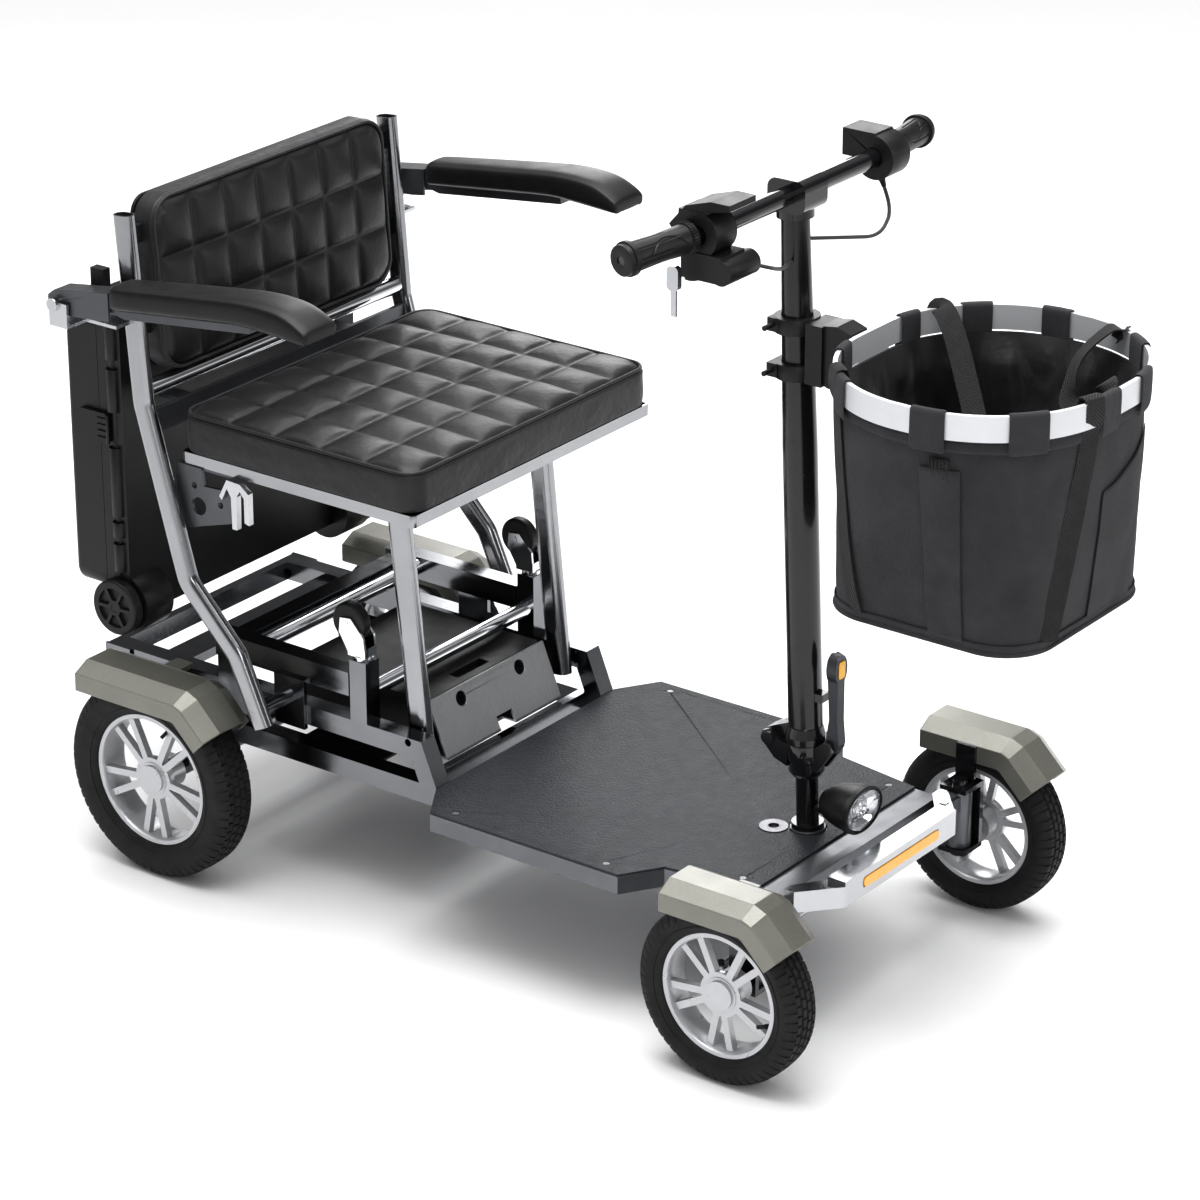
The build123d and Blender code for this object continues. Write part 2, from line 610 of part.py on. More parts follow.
# ---------------------------------------------------------------- tow case
WH_Y, WH_Z = 582.0, 316.0
with BuildPart() as case_front:
    with BuildSketch(Plane(origin=(0, CASE_Y0, 495), x_dir=(1, 0, 0), z_dir=(0, 1, 0))):
        RectangleRounded(2 * CASE_HALF, 390, 22)
    extrude(amount=CASE_YM - 0.3 - CASE_Y0)
    with BuildSketch(Plane(origin=(0, CASE_Y0 + 3, 495), x_dir=(1, 0, 0), z_dir=(0, 1, 0))):
        RectangleRounded(2 * CASE_HALF - 6, 384, 19)
    extrude(amount=60, mode=Mode.SUBTRACT)
    for s in (1, -1):
        # housing over each tow wheel's axle
        with BuildSketch(Plane(origin=(s * 165, WH_Y, WH_Z), x_dir=(0, 1, 0), z_dir=(s, 0, 0))):
            Circle(38)
        extrude(amount=47.5)
        with BuildSketch(Plane(origin=(s * 168, WH_Y, WH_Z), x_dir=(0, 1, 0), z_dir=(s, 0, 0))):
            Circle(5)
        extrude(amount=62)
    # keep the housings clear of the lid
    with Locations((0, CASE_YM + 29.7, 495)):
        Box(460, 60, 420, mode=Mode.SUBTRACT)
    # corner barrels down the right-hand side, with the windows between them
    for z0, z1 in ((360, 396), (404, 424), (432, 520), (566, 620), (632, 684)):
        with BuildSketch(Plane(origin=(-CASE_HALF + 2, CASE_Y0 + 14, z0), x_dir=(1, 0, 0), z_dir=(0, 0, 1))):
            Circle(9)
        extrude(amount=z1 - z0)
    with BuildSketch(Plane(origin=(-CASE_HALF + 2, CASE_Y0 + 14, 354), x_dir=(1, 0, 0), z_dir=(0, 0, 1))):
        Circle(4)
    extrude(amount=332)
    # hinge barrel on the left-hand edge: three knuckles stay with this shell
    for z0 in (360, 490, 620):
        with BuildSketch(Plane(origin=(CASE_HALF + 6, CASE_YM, z0), x_dir=(1, 0, 0), z_dir=(0, 0, 1))):
            Circle(5)
        extrude(amount=26)
        with Locations((CASE_HALF + 3.0, CASE_YM - 8, z0 + 13)):
            Box(6, 14, 26)
    with BuildSketch(Plane(origin=(CASE_HALF + 6, CASE_YM, 354), x_dir=(1, 0, 0), z_dir=(0, 0, 1))):
        Circle(2)
    extrude(amount=298)
case_front.part.label = "case_front_shell"
export_step(case_front.part, "parts/case_front_shell.step")

with BuildPart() as case_lid:
    with BuildSketch(Plane(origin=(0, CASE_YM + 0.3, 509), x_dir=(1, 0, 0), z_dir=(0, 1, 0))):
        RectangleRounded(2 * CASE_HALF, 362, 22)
    extrude(amount=CASE_Y1 - CASE_YM - 0.3)
    fillet(case_lid.faces().sort_by(Axis.Y)[-1].edges(), radius=8)
    with BuildSketch(Plane(origin=(0, CASE_YM, 509), x_dir=(1, 0, 0), z_dir=(0, 1, 0))):
        RectangleRounded(2 * CASE_HALF - 6, 356, 19)
    extrude(amount=CASE_Y1 - CASE_YM - 3, mode=Mode.SUBTRACT)
    for z0 in (387, 517):
        with BuildSketch(Plane(origin=(CASE_HALF + 6, CASE_YM, z0), x_dir=(1, 0, 0), z_dir=(0, 0, 1))):
            Circle(5)
        extrude(amount=26)
        with Locations((CASE_HALF + 3.0, CASE_YM + 8, z0 + 13)):
            Box(6, 14, 26)
    with BuildSketch(Plane(origin=(CASE_HALF + 6, CASE_YM, 360), x_dir=(1, 0, 0), z_dir=(0, 0, 1))):
        Circle(2.06)
    extrude(amount=290, mode=Mode.SUBTRACT)
    # vertical ribs moulded along the outer face
    for x in (-120, -40, 40, 120):
        with Locations((x, CASE_Y1 + 0.5, 509)):
            Box(14, 3.0, 290)
case_lid.part.label = "case_lid"
export_step(case_lid.part, "parts/case_lid.step")

with BuildPart() as latch:
    with Locations((-CASE_HALF - 3.4, 611.0, 543)):
        Box(5.4, 47, 38)
    fillet(latch.edges().filter_by(Axis.X), radius=5)
    for k in range(4):
        with Locations((-CASE_HALF - 6.6, 596, 530 + 8 * k)):
            Box(2.4, 16, 4)
    # hinge barrel
    with Locations((-CASE_HALF - 6.2, 587.5, 543)):
        Cylinder(2.2, 36)
latch.part.label = "case_latch"
export_step(latch.part, "parts/case_latch.step")

for side, s in SIDES:
    with BuildPart() as tow:
        with BuildSketch(Plane(origin=(s * 215.6, WH_Y, WH_Z), x_dir=(0, 1, 0), z_dir=(s, 0, 0))):
            Circle(35)
        extrude(amount=15)
        fillet([e for e in tow.edges().filter_by(GeomType.CIRCLE) if e.radius > 20], radius=3)
        with BuildSketch(Plane(origin=(s * 226.6, WH_Y, WH_Z), x_dir=(0, 1, 0), z_dir=(s, 0, 0))):
            Circle(25)
            Circle(10, mode=Mode.SUBTRACT)
            for k in range(6):
                with Locations(Location((0, 0, 0), (0, 0, 60 * k))):
                    Rectangle(60, 4.5, mode=Mode.SUBTRACT)
        extrude(amount=6, mode=Mode.SUBTRACT)
        with BuildSketch(Plane(origin=(s * 213, WH_Y, WH_Z), x_dir=(0, 1, 0), z_dir=(s, 0, 0))):
            Circle(5.06)
        extrude(amount=20, mode=Mode.SUBTRACT)
    tow.part.label = f"case_wheel_{side}"
    export_step(tow.part, f"parts/case_wheel_{side}.step")

# ---------------------------------------------------------------- steering column, lower part
H_SPLIT = hz(292) + 0.0
with BuildPart() as stub:
    # shaft through the deck bearing
    with BuildSketch(col_plane(hz(110))):
        Circle(11)
    extrude(amount=hz(186) - hz(110))
    with BuildSketch(col_plane(hz(185.3))):
        Circle(19)
    extrude(amount=6)
    with BuildSketch(col_plane(hz(190))):
        Circle(13)
    extrude(amount=62)
    # socket, flared up to the joint face
    with BuildSketch(COL_SIDE):
        with BuildLine():
            Polyline((0, hz(250)), (17, hz(250)), (21, hz(256)), (21, hz(268)), (23, hz(272)), (23, H_SPLIT - 0.3), (0, H_SPLIT - 0.3), close=True)
        make_face()
    revolve(axis=COL_AXIS)
    # hinge ears at the back
    for d in (-14.2, 14.2):
        with BuildSketch(Plane(origin=(d - 4, 0, 0), x_dir=(0, 1, 0), z_dir=(1, 0, 0))):
            with BuildLine():
                Polyline((-258, 262), (-258, 290), (-248.4, 290), (-232, 302), (-224, 298), (-222, 292), (-224, 285), (-240, 268), close=True)
            make_face()
        extrude(amount=8)
    with BuildSketch(Plane(origin=(-20, HINGE_Y, HINGE_Z), x_dir=(0, 1, 0), z_dir=(1, 0, 0))):
        Circle(4)
    extrude(amount=40)
    for d in (-22.2, 18.2):
        with BuildSketch(Plane(origin=(d, HINGE_Y, HINGE_Z), x_dir=(0, 1, 0), z_dir=(1, 0, 0))):
            Circle(8)
        extrude(amount=4)
    # ears for the clamp lever at the front
    for d in (-10.5, 10.5):
        with BuildSketch(Plane(origin=(d - 3, 0, 0), x_dir=(0, 1, 0), z_dir=(1, 0, 0))):
            with BuildLine():
                Polyline((-288, 262), (-288, 288), (-306, 304), (-314, 302), (-316, 292), (-308, 280), (-296, 262), close=True)
            make_face()
        extrude(amount=6)
    with BuildSketch(Plane(origin=(-14, -307, 295), x_dir=(0, 1, 0), z_dir=(1, 0, 0))):
        Circle(3.5)
    extrude(amount=28)
    # steering arm under the deck and its stud
    with Locations((0, -257, 109.5)):
        Box(20, 64, 6)
    with Locations((0, -234.5, 103.5)):
        Cylinder(4, 11)
stub.part.label = "column_foot"
export_step(stub.part, "parts/column_foot.step")

with BuildPart() as lever:
    with BuildSketch(Plane(origin=(-7, 0, 0), x_dir=(0, 1, 0), z_dir=(1, 0, 0))):
        with BuildLine():
            Polyline((-302, 288), (-298.5, 296), (-303, 303), (-307, 330), (-304, 380), (-303, 402), (-308, 410), (-315, 408), (-318, 398), (-318, 330), (-321, 300), (-316, 289), (-308, 285), close=True)
        make_face()
    extrude(amount=14)
    with BuildSketch(Plane(origin=(0, -318, 0), x_dir=(1, 0, 0), z_dir=(0, -1, 0))) as shell:
        with Locations((0, 392)):
            Ellipse(12, 18)
    extrude(amount=-13)
    with BuildSketch(Plane(origin=(-9, -307, 295), x_dir=(0, 1, 0), z_dir=(1, 0, 0))):
        Circle(3.56)
    extrude(amount=18, mode=Mode.SUBTRACT)
lever.part.label = "fold_lever"
export_step(lever.part, "parts/fold_lever.step")

# headlight on its bracket
HL = Plane(origin=(0, -352, 226), x_dir=(1, 0, 0), z_dir=(0, -1, 0))
with BuildPart() as lamp:
    with BuildSketch(HL):
        Ellipse(38, 27)
    with BuildSketch(HL.offset(-22)):
        Ellipse(34, 25)
    with BuildSketch(HL.offset(-44)):
        Ellipse(23, 18)
    with BuildSketch(HL.offset(-53)):
        Ellipse(12, 10)
    loft()
    with BuildSketch(HL):
        Ellipse(35, 24)
    extrude(amount=-9, mode=Mode.SUBTRACT)
    # bracket back to the column foot
    with Locations((0, -297.5, 213)):
        Box(16, 16, 7)
lamp.part.label = "headlight_housing"
export_step(lamp.part, "parts/headlight_housing.step")

with BuildPart() as lens:
    with BuildSketch(HL.offset(-8.9)):
        Ellipse(34.9, 23.9)
    extrude(amount=4)
    with BuildSketch(HL.offset(-2)):
        Ellipse(34.9, 23.9)
    with BuildSketch(HL.offset(4)):
        Ellipse(26, 16)
    loft()
    with BuildSketch(HL.offset(-8.9)):
        Ellipse(34.9, 23.9)
    extrude(amount=7)
lens.part.label = "headlight_lens"
export_step(lens.part, "parts/headlight_lens.step")

# ---------------------------------------------------------------- steering column, upper part
with BuildPart() as column:
    with BuildSketch(COL_SIDE):
        with BuildLine():
            Polyline(
                (0, H_SPLIT + 0.3), (23, H_SPLIT + 0.3), (23, H_SPLIT + 8), (20.5, H_SPLIT + 20), (20, H_SPLIT + 21),
                (20, hz(650)), (16.2, hz(915)), (16.2, hz(930)), (0, hz(930)), close=True,
            )
        make_face()
    revolve(axis=COL_AXIS)
    # hinge tongue
    with BuildSketch(Plane(origin=(-9.8, 0, 0), x_dir=(0, 1, 0), z_dir=(1, 0, 0))):
        with BuildLine():
            Polyline((-256, 293.8), (-243, 293.4), (-240, 286), (-232, 282.5), (-224, 286), (-222.5, 292), (-224, 299), (-232, 303), (-256, 314), close=True)
        make_face()
    extrude(amount=19.6)
    # catch for the lever's tip
    with Locations((0, -290, 352)):
        Box(16, 14, 10)
    with BuildSketch(Plane(origin=(-20, HINGE_Y, HINGE_Z), x_dir=(0, 1, 0), z_dir=(1, 0, 0))):
        Circle(4.06)
    extrude(amount=40, mode=Mode.SUBTRACT)
column.part.label = "column_tube"
export_step(column.part, "parts/column_tube.step")

# handlebar and its clamp
BAR = [(-288, -220, 938), (-160, BAR_Y, BAR_Z), (160, BAR_Y, BAR_Z), (288, -220, 938)]
with BuildPart() as bar:
    with BuildLine() as run:
        FilletPolyline(*BAR, radius=60)
    with BuildSketch(Plane(origin=run.line @ 0, z_dir=run.line % 0)):
        Circle(11)
    sweep(path=run.line)
    # clamp block over the column's head
    with BuildSketch(col_plane(hz(916))):
        Circle(21.5)
    extrude(amount=24)
    with BuildSketch(Plane(origin=(-22, BAR_Y, BAR_Z), x_dir=(0, 1, 0), z_dir=(1, 0, 0))):
        RectangleRounded(50, 38, 12)
    extrude(amount=44)
    with BuildSketch(COL_SIDE):
        with BuildLine():
            Polyline((0, hz(880)), (16.75, hz(880)), (16.3, hz(915)), (16.3, hz(930) + 0.1), (0, hz(930) + 0.1), close=True)
        make_face()
    revolve(axis=COL_AXIS, mode=Mode.SUBTRACT)
bar.part.label = "handlebar"
export_step(bar.part, "parts/handlebar.step")

# grips: the right-hand one turns, the left-hand one is fixed
for side, s in SIDES:
    start = Vector(s * 160, BAR_Y, BAR_Z)
    end = Vector(s * 288, -220, 938)
    d = (end - start).normalized()
    bore = 11.03 if s > 0 else 11.08
    with BuildPart() as grip:
        for a, l, r in ((34.0, 9.0, 18.5), (43.0, 76.0, 16.5), (119.0, 6.0, 19.5), (125.0, 7.5, 17.5)):
            with BuildSketch(Plane(origin=start + d * a, x_dir=(0, 0, 1), z_dir=d)):
                Circle(r)
            extrude(amount=l)
        with BuildSketch(Plane(origin=start + d * 30, x_dir=(0, 0, 1), z_dir=d)):
            Circle(bore)
        extrude(amount=100.8, mode=Mode.SUBTRACT)
    name = "grip_left" if s > 0 else "throttle_grip"
    grip.part.label = name
    export_step(grip.part, f"parts/{name}.step")

# right-hand control: ring, display and switch box
with BuildPart() as ctl_r:
    with BuildSketch(Plane(origin=(-188, BAR_Y, BAR_Z), x_dir=(0, 1, 0), z_dir=(1, 0, 0))):
        Circle(25)
        with Locations((8, 6)):
            Rectangle(34, 40)
    extrude(amount=38)
    with BuildSketch(Plane(origin=(-187, 0, 0), x_dir=(0, 1, 0), z_dir=(1, 0, 0))):
        with BuildLine():
            Polyline((-208, 950), (-229, 974), (-262, 984), (-286, 984), (-286, 977), (-262, 972), (-236, 962), (-216, 940), close=True)
        make_face()
    extrude(amount=49)
    with Locations((-168, -252, 910)):
        Box(44, 52, 30)
    with BuildSketch(Plane(origin=(-190, -277, 908), x_dir=(0, 1, 0), z_dir=(1, 0, 0))):
        Circle(14)
    extrude(amount=56)
    # barrel of the key switch
    with BuildSketch(Plane(origin=(-176, -232, 900), x_dir=(1, 0, 0), z_dir=(0, 0, -1))):
        Circle(9)
    extrude(amount=10)
    with BuildSketch(Plane(origin=(-200, BAR_Y, BAR_Z), x_dir=(0, 1, 0), z_dir=(1, 0, 0))):
        Circle(11.05)
    extrude(amount=60, mode=Mode.SUBTRACT)
    with BuildLine() as run:
        FilletPolyline(*BAR, radius=60)
    with BuildSketch(Plane(origin=run.line @ 0, z_dir=run.line % 0)):
        Circle(11.05)
    sweep(path=run.line, mode=Mode.SUBTRACT)
ctl_r.part.label = "control_right"
export_step(ctl_r.part, "parts/control_right.step")

with BuildPart() as ctl_l:
    with BuildSketch(Plane(origin=(150, BAR_Y, BAR_Z), x_dir=(0, 1, 0), z_dir=(1, 0, 0))):
        Circle(26)
        with Locations((20, 12)):
            Rectangle(44, 32)
    extrude(amount=36)
    with BuildLine() as run:
        FilletPolyline(*BAR, radius=60)
    with BuildSketch(Plane(origin=run.line @ 0, z_dir=run.line % 0)):
        Circle(11.05)
    sweep(path=run.line, mode=Mode.SUBTRACT)
ctl_l.part.label = "control_left"
export_step(ctl_l.part, "parts/control_left.step")

# key hanging from its switch
with BuildPart() as key:
    with BuildSketch(Plane(origin=(-214, 0, 0), x_dir=(0, 1, 0), z_dir=(1, 0, 0))):
        with Locations((-232, 900)):
            RectangleRounded(15, 28, 6)
    extrude(amount=7)
    with Locations((-210.5, -232, 872)):
        Box(2.4, 7, 30)
key.part.label = "key"
export_step(key.part, "parts/key.step")

# thin control cables: housing to column
with BuildPart() as cables:
    for pts, label in (
        ([(-132.6, -277, 904), (-108, -284, 894), (-62, -270, 876), (-12, -248.5, 868)], "right"),
        ([(168, -246, 916), (166, -262, 880), (120, -276, 866), (12, -251, 888)], "left"),
    ):
        vs = [Vector(*p) for p in pts]
        radii = []
        for i in range(1, len(vs) - 1):
            a, b2 = (vs[i] - vs[i - 1]), (vs[i + 1] - vs[i])
            turn = radians(a.get_angle(b2))
            radii.append(0.45 * min(a.length, b2.length) / tan(turn / 2))
        with BuildLine() as run:
            FilletPolyline(*pts, radius=radii)
        with BuildSketch(Plane(origin=run.line @ 0, z_dir=run.line % 0)):
            Circle(2.2)
        sweep(path=run.line)
        print("cable", label, "length", round(run.wires()[0].length, 1), "radii", [round(r, 1) for r in radii])
    print("cable volume", round(cables.part.volume, 1))
    with BuildSketch(COL_SIDE):
        with BuildLine():
            Polyline((0, hz(800)), (17.9, hz(800)), (16.3, hz(912)), (0, hz(912)), close=True)
        make_face()
    revolve(axis=COL_AXIS, mode=Mode.SUBTRACT)
cables.part.label = "control_cables"
export_step(cables.part, "parts/control_cables.step")

# ---------------------------------------------------------------- basket and its holder
BP = Plane(origin=(0, BASKET_Y, 0), x_dir=(1, 0, 0), z_dir=(0, 0, 1))
with BuildPart() as holder:
    for z in (741.0, 794.0):
        with BuildSketch(Plane(origin=(0, Y_COL + (z - Z_COL) * tan(RAKE), z), x_dir=(1, 0, 0), z_dir=(0, S, C))):
            Circle(26)
        extrude(amount=9, both=True)
    with Locations((0, -284, 767.5)):
        Box(40, 22, 70)
    # arm with the release socket
    with BuildSketch(Plane(origin=(-16, 0, 0), x_dir=(0, 1, 0), z_dir=(1, 0, 0))):
        with BuildLine():
            Polyline((-288, 738), (-288, 802), (-312, 806), (-330, 800), (-340, 780), (-340, 742), (-325, 730), (-300, 732), close=True)
        make_face()
    extrude(amount=32)
    # clamp bolts
    for z in (741.0, 794.0):
        with BuildSketch(Plane(origin=(-40, -232, z), x_dir=(0, 1, 0), z_dir=(1, 0, 0))):
            Circle(3)
        extrude(amount=80)
        with Locations((0, -232, z)):
            Box(48, 14, 16)
    with BuildSketch(COL_SIDE):
        with BuildLine():
            Polyline((0, hz(700)), (19.48, hz(700)), (17.4, hz(845)), (0, hz(845)), close=True)
        make_face()
    revolve(axis=COL_AXIS, mode=Mode.SUBTRACT)
holder.part.label = "basket_holder"
export_step(holder.part, "parts/basket_holder.step")

with BuildPart() as basket_rim:
    with BuildSketch(Plane(origin=(0, BASKET_Y, RIM_BOT), x_dir=(1, 0, 0), z_dir=(0, 0, 1))):
        RectangleRounded(356, 314, 150)
        RectangleRounded(346, 304, 145, mode=Mode.SUBTRACT)
    extrude(amount=RIM_TOP - RIM_BOT)
    # receiver that drops over the holder
    with Locations((0, -350, 776)):
        Box(60, 18, 56)
    with BuildSketch(Plane(origin=(0, BASKET_Y, 700), x_dir=(1, 0, 0), z_dir=(0, 0, 1))):
        RectangleRounded(346, 304, 145)
    extrude(amount=140, mode=Mode.SUBTRACT)
basket_rim.part.label = "basket_rim"
export_step(basket_rim.part, "parts/basket_rim.step")

with BuildPart() as basket_bag:
    with BuildSketch(Plane(origin=(0, BASKET_Y, 530), x_dir=(1, 0, 0), z_dir=(0, 0, 1))):
        RectangleRounded(276, 262, 60)
    with BuildSketch(Plane(origin=(0, BASKET_Y, 776), x_dir=(1, 0, 0), z_dir=(0, 0, 1))):
        RectangleRounded(345.4, 303.4, 144.7)
    loft()
    with BuildSketch(Plane(origin=(0, BASKET_Y, 776), x_dir=(1, 0, 0), z_dir=(0, 0, 1))):
        RectangleRounded(345.4, 303.4, 144.7)
    extrude(amount=26)
    with BuildSketch(Plane(origin=(0, BASKET_Y, 534), x_dir=(1, 0, 0), z_dir=(0, 0, 1))):
        RectangleRounded(268, 254, 56)
    with BuildSketch(Plane(origin=(0, BASKET_Y, 776), x_dir=(1, 0, 0), z_dir=(0, 0, 1))):
        RectangleRounded(339.4, 297.4, 141.7)
    loft(mode=Mode.SUBTRACT)
    with BuildSketch(Plane(origin=(0, BASKET_Y, 776), x_dir=(1, 0, 0), z_dir=(0, 0, 1))):
        RectangleRounded(339.4, 297.4, 141.7)
    extrude(amount=30, mode=Mode.SUBTRACT)
basket_bag.part.label = "basket_bag"
export_step(basket_bag.part, "parts/basket_bag.step")

lo = [1e9] * 3
hi = [-1e9] * 3
for name in sorted(os.listdir("parts")):
    bb = import_step("parts/" + name).bounding_box()
    for i, (a, b3) in enumerate(((bb.min.X, bb.max.X), (bb.min.Y, bb.max.Y), (bb.min.Z, bb.max.Z))):
        lo[i] = min(lo[i], a)
        hi[i] = max(hi[i], b3)
print("bbox", [round(v, 2) for v in lo], [round(v, 2) for v in hi], "nodes", len(os.listdir("parts")))
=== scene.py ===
import bpy, bmesh, math, random
import numpy as np
from mathutils import Vector, Matrix, noise


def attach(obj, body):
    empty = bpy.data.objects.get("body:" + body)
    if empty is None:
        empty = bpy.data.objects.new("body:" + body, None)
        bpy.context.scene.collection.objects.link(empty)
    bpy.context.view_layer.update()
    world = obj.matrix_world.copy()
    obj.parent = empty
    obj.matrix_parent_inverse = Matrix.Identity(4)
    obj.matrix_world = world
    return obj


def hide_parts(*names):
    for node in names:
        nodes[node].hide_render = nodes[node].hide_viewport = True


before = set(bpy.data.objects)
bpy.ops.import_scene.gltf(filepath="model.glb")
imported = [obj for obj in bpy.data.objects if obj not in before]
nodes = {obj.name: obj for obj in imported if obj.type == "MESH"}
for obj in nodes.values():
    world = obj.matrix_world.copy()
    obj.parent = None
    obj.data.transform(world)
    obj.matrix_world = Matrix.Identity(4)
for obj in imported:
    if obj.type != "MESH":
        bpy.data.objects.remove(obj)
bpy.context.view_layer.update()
S = bpy.context.scene

# ------------------------------------------------------------------ materials
def _n(nt, kind, **kw):
    n = nt.nodes.new(kind)
    for k, v in kw.items():
        if hasattr(n, k):
            setattr(n, k, v)
        else:
            n.inputs[k].default_value = v
    return n


def _coord(nt, scale=(1, 1, 1), uv=False, rot=(0, 0, 0)):
    tc = nt.nodes.new("ShaderNodeTexCoord")
    mp = nt.nodes.new("ShaderNodeMapping")
    mp.inputs["Scale"].default_value = scale
    mp.inputs["Rotation"].default_value = rot
    nt.links.new(tc.outputs["UV" if uv else "Object"], mp.inputs["Vector"])
    return mp.outputs["Vector"]


def _math(nt, op, a, b=None, c=None):
    n = nt.nodes.new("ShaderNodeMath")
    n.operation = op
    for i, v in enumerate((a, b, c)):
        if v is None:
            continue
        if hasattr(v, "links"):
            nt.links.new(v, n.inputs[i])
        else:
            n.inputs[i].default_value = v
    return n.outputs[0]


def mat(name, base, rough=0.5, metal=0.0, coat=0.0, coat_rough=0.1, sheen=0.0, sheen_rough=0.4, spec=0.32,
        var=0.12, vscale=14.0, speck=0.0, speck_scale=900.0, rvar=0.06, rscale=40.0, bumps=(), weave=None,
        stretch=(1, 1, 1), aniso=0.0, trans=0.0, ior=1.5, emit=0.0, alpha=1.0, dirt=0.0, brushed=None):
    m = bpy.data.materials.new(name)
    m.use_nodes = True
    nt = m.node_tree
    b = nt.nodes["Principled BSDF"]
    b.inputs["Metallic"].default_value = metal
    b.inputs["Coat Weight"].default_value = coat
    b.inputs["Coat Roughness"].default_value = coat_rough
    b.inputs["Sheen Weight"].default_value = sheen
    b.inputs["Sheen Roughness"].default_value = sheen_rough
    b.inputs["Specular IOR Level"].default_value = spec
    b.inputs["Transmission Weight"].default_value = trans
    b.inputs["IOR"].default_value = ior
    b.inputs["Anisotropic"].default_value = aniso
    if emit:
        b.inputs["Emission Color"].default_value = (*base, 1)
        b.inputs["Emission Strength"].default_value = emit
    if alpha < 1:
        b.inputs["Alpha"].default_value = alpha
    vec = _coord(nt, stretch)
    nz = _n(nt, "ShaderNodeTexNoise", Scale=vscale, Detail=6.0, Roughness=0.6)
    nt.links.new(vec, nz.inputs["Vector"])
    ramp = nt.nodes.new("ShaderNodeValToRGB")
    e = ramp.color_ramp.elements
    e[0].position, e[1].position = 0.3, 0.7
    e[0].color = (*[max(0.0, c * (1 - var)) for c in base], 1)
    e[1].color = (*[min(1.0, c * (1 + var)) for c in base], 1)
    nt.links.new(nz.outputs["Fac"], ramp.inputs["Fac"])
    col = ramp.outputs["Color"]
    if speck:
        sp = _n(nt, "ShaderNodeTexNoise", Scale=speck_scale, Detail=2.0, Roughness=0.7)
        nt.links.new(vec, sp.inputs["Vector"])
        sr = nt.nodes.new("ShaderNodeValToRGB")
        sr.color_ramp.elements[0].position, sr.color_ramp.elements[1].position = 0.5, 0.72
        sr.color_ramp.elements[0].color = (0, 0, 0, 1)
        sr.color_ramp.elements[1].color = (1, 1, 1, 1)
        nt.links.new(sp.outputs["Fac"], sr.inputs["Fac"])
        mx = nt.nodes.new("ShaderNodeMixRGB")
        mx.blend_type = "MIX"
        f = _math(nt, "MULTIPLY", sr.outputs["Color"], speck)
        nt.links.new(f, mx.inputs["Fac"])
        nt.links.new(col, mx.inputs["Color1"])
        mx.inputs["Color2"].default_value = (*[min(1, c * 2.2 + 0.05) for c in base], 1)
        col = mx.outputs["Color"]
    rz = _n(nt, "ShaderNodeTexNoise", Scale=rscale, Detail=4.0, Roughness=0.6)
    rvec = vec
    if brushed:
        rvec = _coord(nt, brushed)
    nt.links.new(rvec, rz.inputs["Vector"])
    mr = _n(nt, "ShaderNodeMapRange")
    mr.inputs["From Min"].default_value, mr.inputs["From Max"].default_value = 0.25, 0.75
    mr.inputs["To Min"].default_value, mr.inputs["To Max"].default_value = max(0.02, rough - rvar), min(1.0, rough + rvar)
    nt.links.new(rz.outputs["Fac"], mr.inputs["Value"])
    nt.links.new(mr.outputs["Result"], b.inputs["Roughness"])
    height = None
    prev = None
    for kind, scale, dist, *rest in bumps:
        if kind == "noise":
            t = _n(nt, "ShaderNodeTexNoise", Scale=scale, Detail=3.0, Roughness=0.55)
            out = t.outputs["Fac"]
        elif kind == "cells":
            t = _n(nt, "ShaderNodeTexVoronoi", Scale=scale)
            t.feature = "SMOOTH_F1"
            t.inputs["Smoothness"].default_value = 0.6
            out = t.outputs["Distance"]
        elif kind == "cracks":
            t = _n(nt, "ShaderNodeTexVoronoi", Scale=scale)
            t.feature = "DISTANCE_TO_EDGE"
            out = _math(nt, "MINIMUM", t.outputs["Distance"], 0.12)
        nt.links.new(_coord(nt, rest[0]) if rest else vec, t.inputs["Vector"])
        bp = _n(nt, "ShaderNodeBump", Strength=1.0, Distance=dist)
        nt.links.new(out, bp.inputs["Height"])
        if prev is not None:
            nt.links.new(prev, bp.inputs["Normal"])
        prev = bp.outputs["Normal"]
    if weave:
        pitch, dist, weave_gap_shade = weave
        uv = _coord(nt, (1 / pitch, 1 / pitch, 1), uv=True)
        sx = nt.nodes.new("ShaderNodeSeparateXYZ")
        nt.links.new(uv, sx.inputs[0])
        u, v = sx.outputs[0], sx.outputs[1]
        cu = _math(nt, "FLOOR", u)
        cv = _math(nt, "FLOOR", v)
        par = _math(nt, "PINGPONG", _math(nt, "ADD", cu, cv), 1.0)
        hu = _math(nt, "ABSOLUTE", _math(nt, "SINE", _math(nt, "MULTIPLY", u, math.pi)))
        hv = _math(nt, "ABSOLUTE", _math(nt, "SINE", _math(nt, "MULTIPLY", v, math.pi)))
        over = _math(nt, "MULTIPLY", hu, par)
        under = _math(nt, "MULTIPLY", hv, _math(nt, "SUBTRACT", 1.0, par))
        h = _math(nt, "ADD", over, under)
        bp = _n(nt, "ShaderNodeBump", Strength=1.0, Distance=dist)
        nt.links.new(h, bp.inputs["Height"])
        if prev is not None:
            nt.links.new(prev, bp.inputs["Normal"])
        prev = bp.outputs["Normal"]
        # the colour is darkened where the weave height is low: painted shade in the gaps between the threads
        mx = nt.nodes.new("ShaderNodeMixRGB")
        mx.blend_type = "MULTIPLY"
        g = _math(nt, "ADD", _math(nt, "MULTIPLY", h, weave_gap_shade), 1 - weave_gap_shade)
        mx.inputs["Fac"].default_value = 1.0
        nt.links.new(col, mx.inputs["Color1"])
        nt.links.new(g, mx.inputs["Color2"])
        col = mx.outputs["Color"]
    nt.links.new(col, b.inputs["Base Color"])
    if prev is not None:
        nt.links.new(prev, b.inputs["Normal"])
    return m


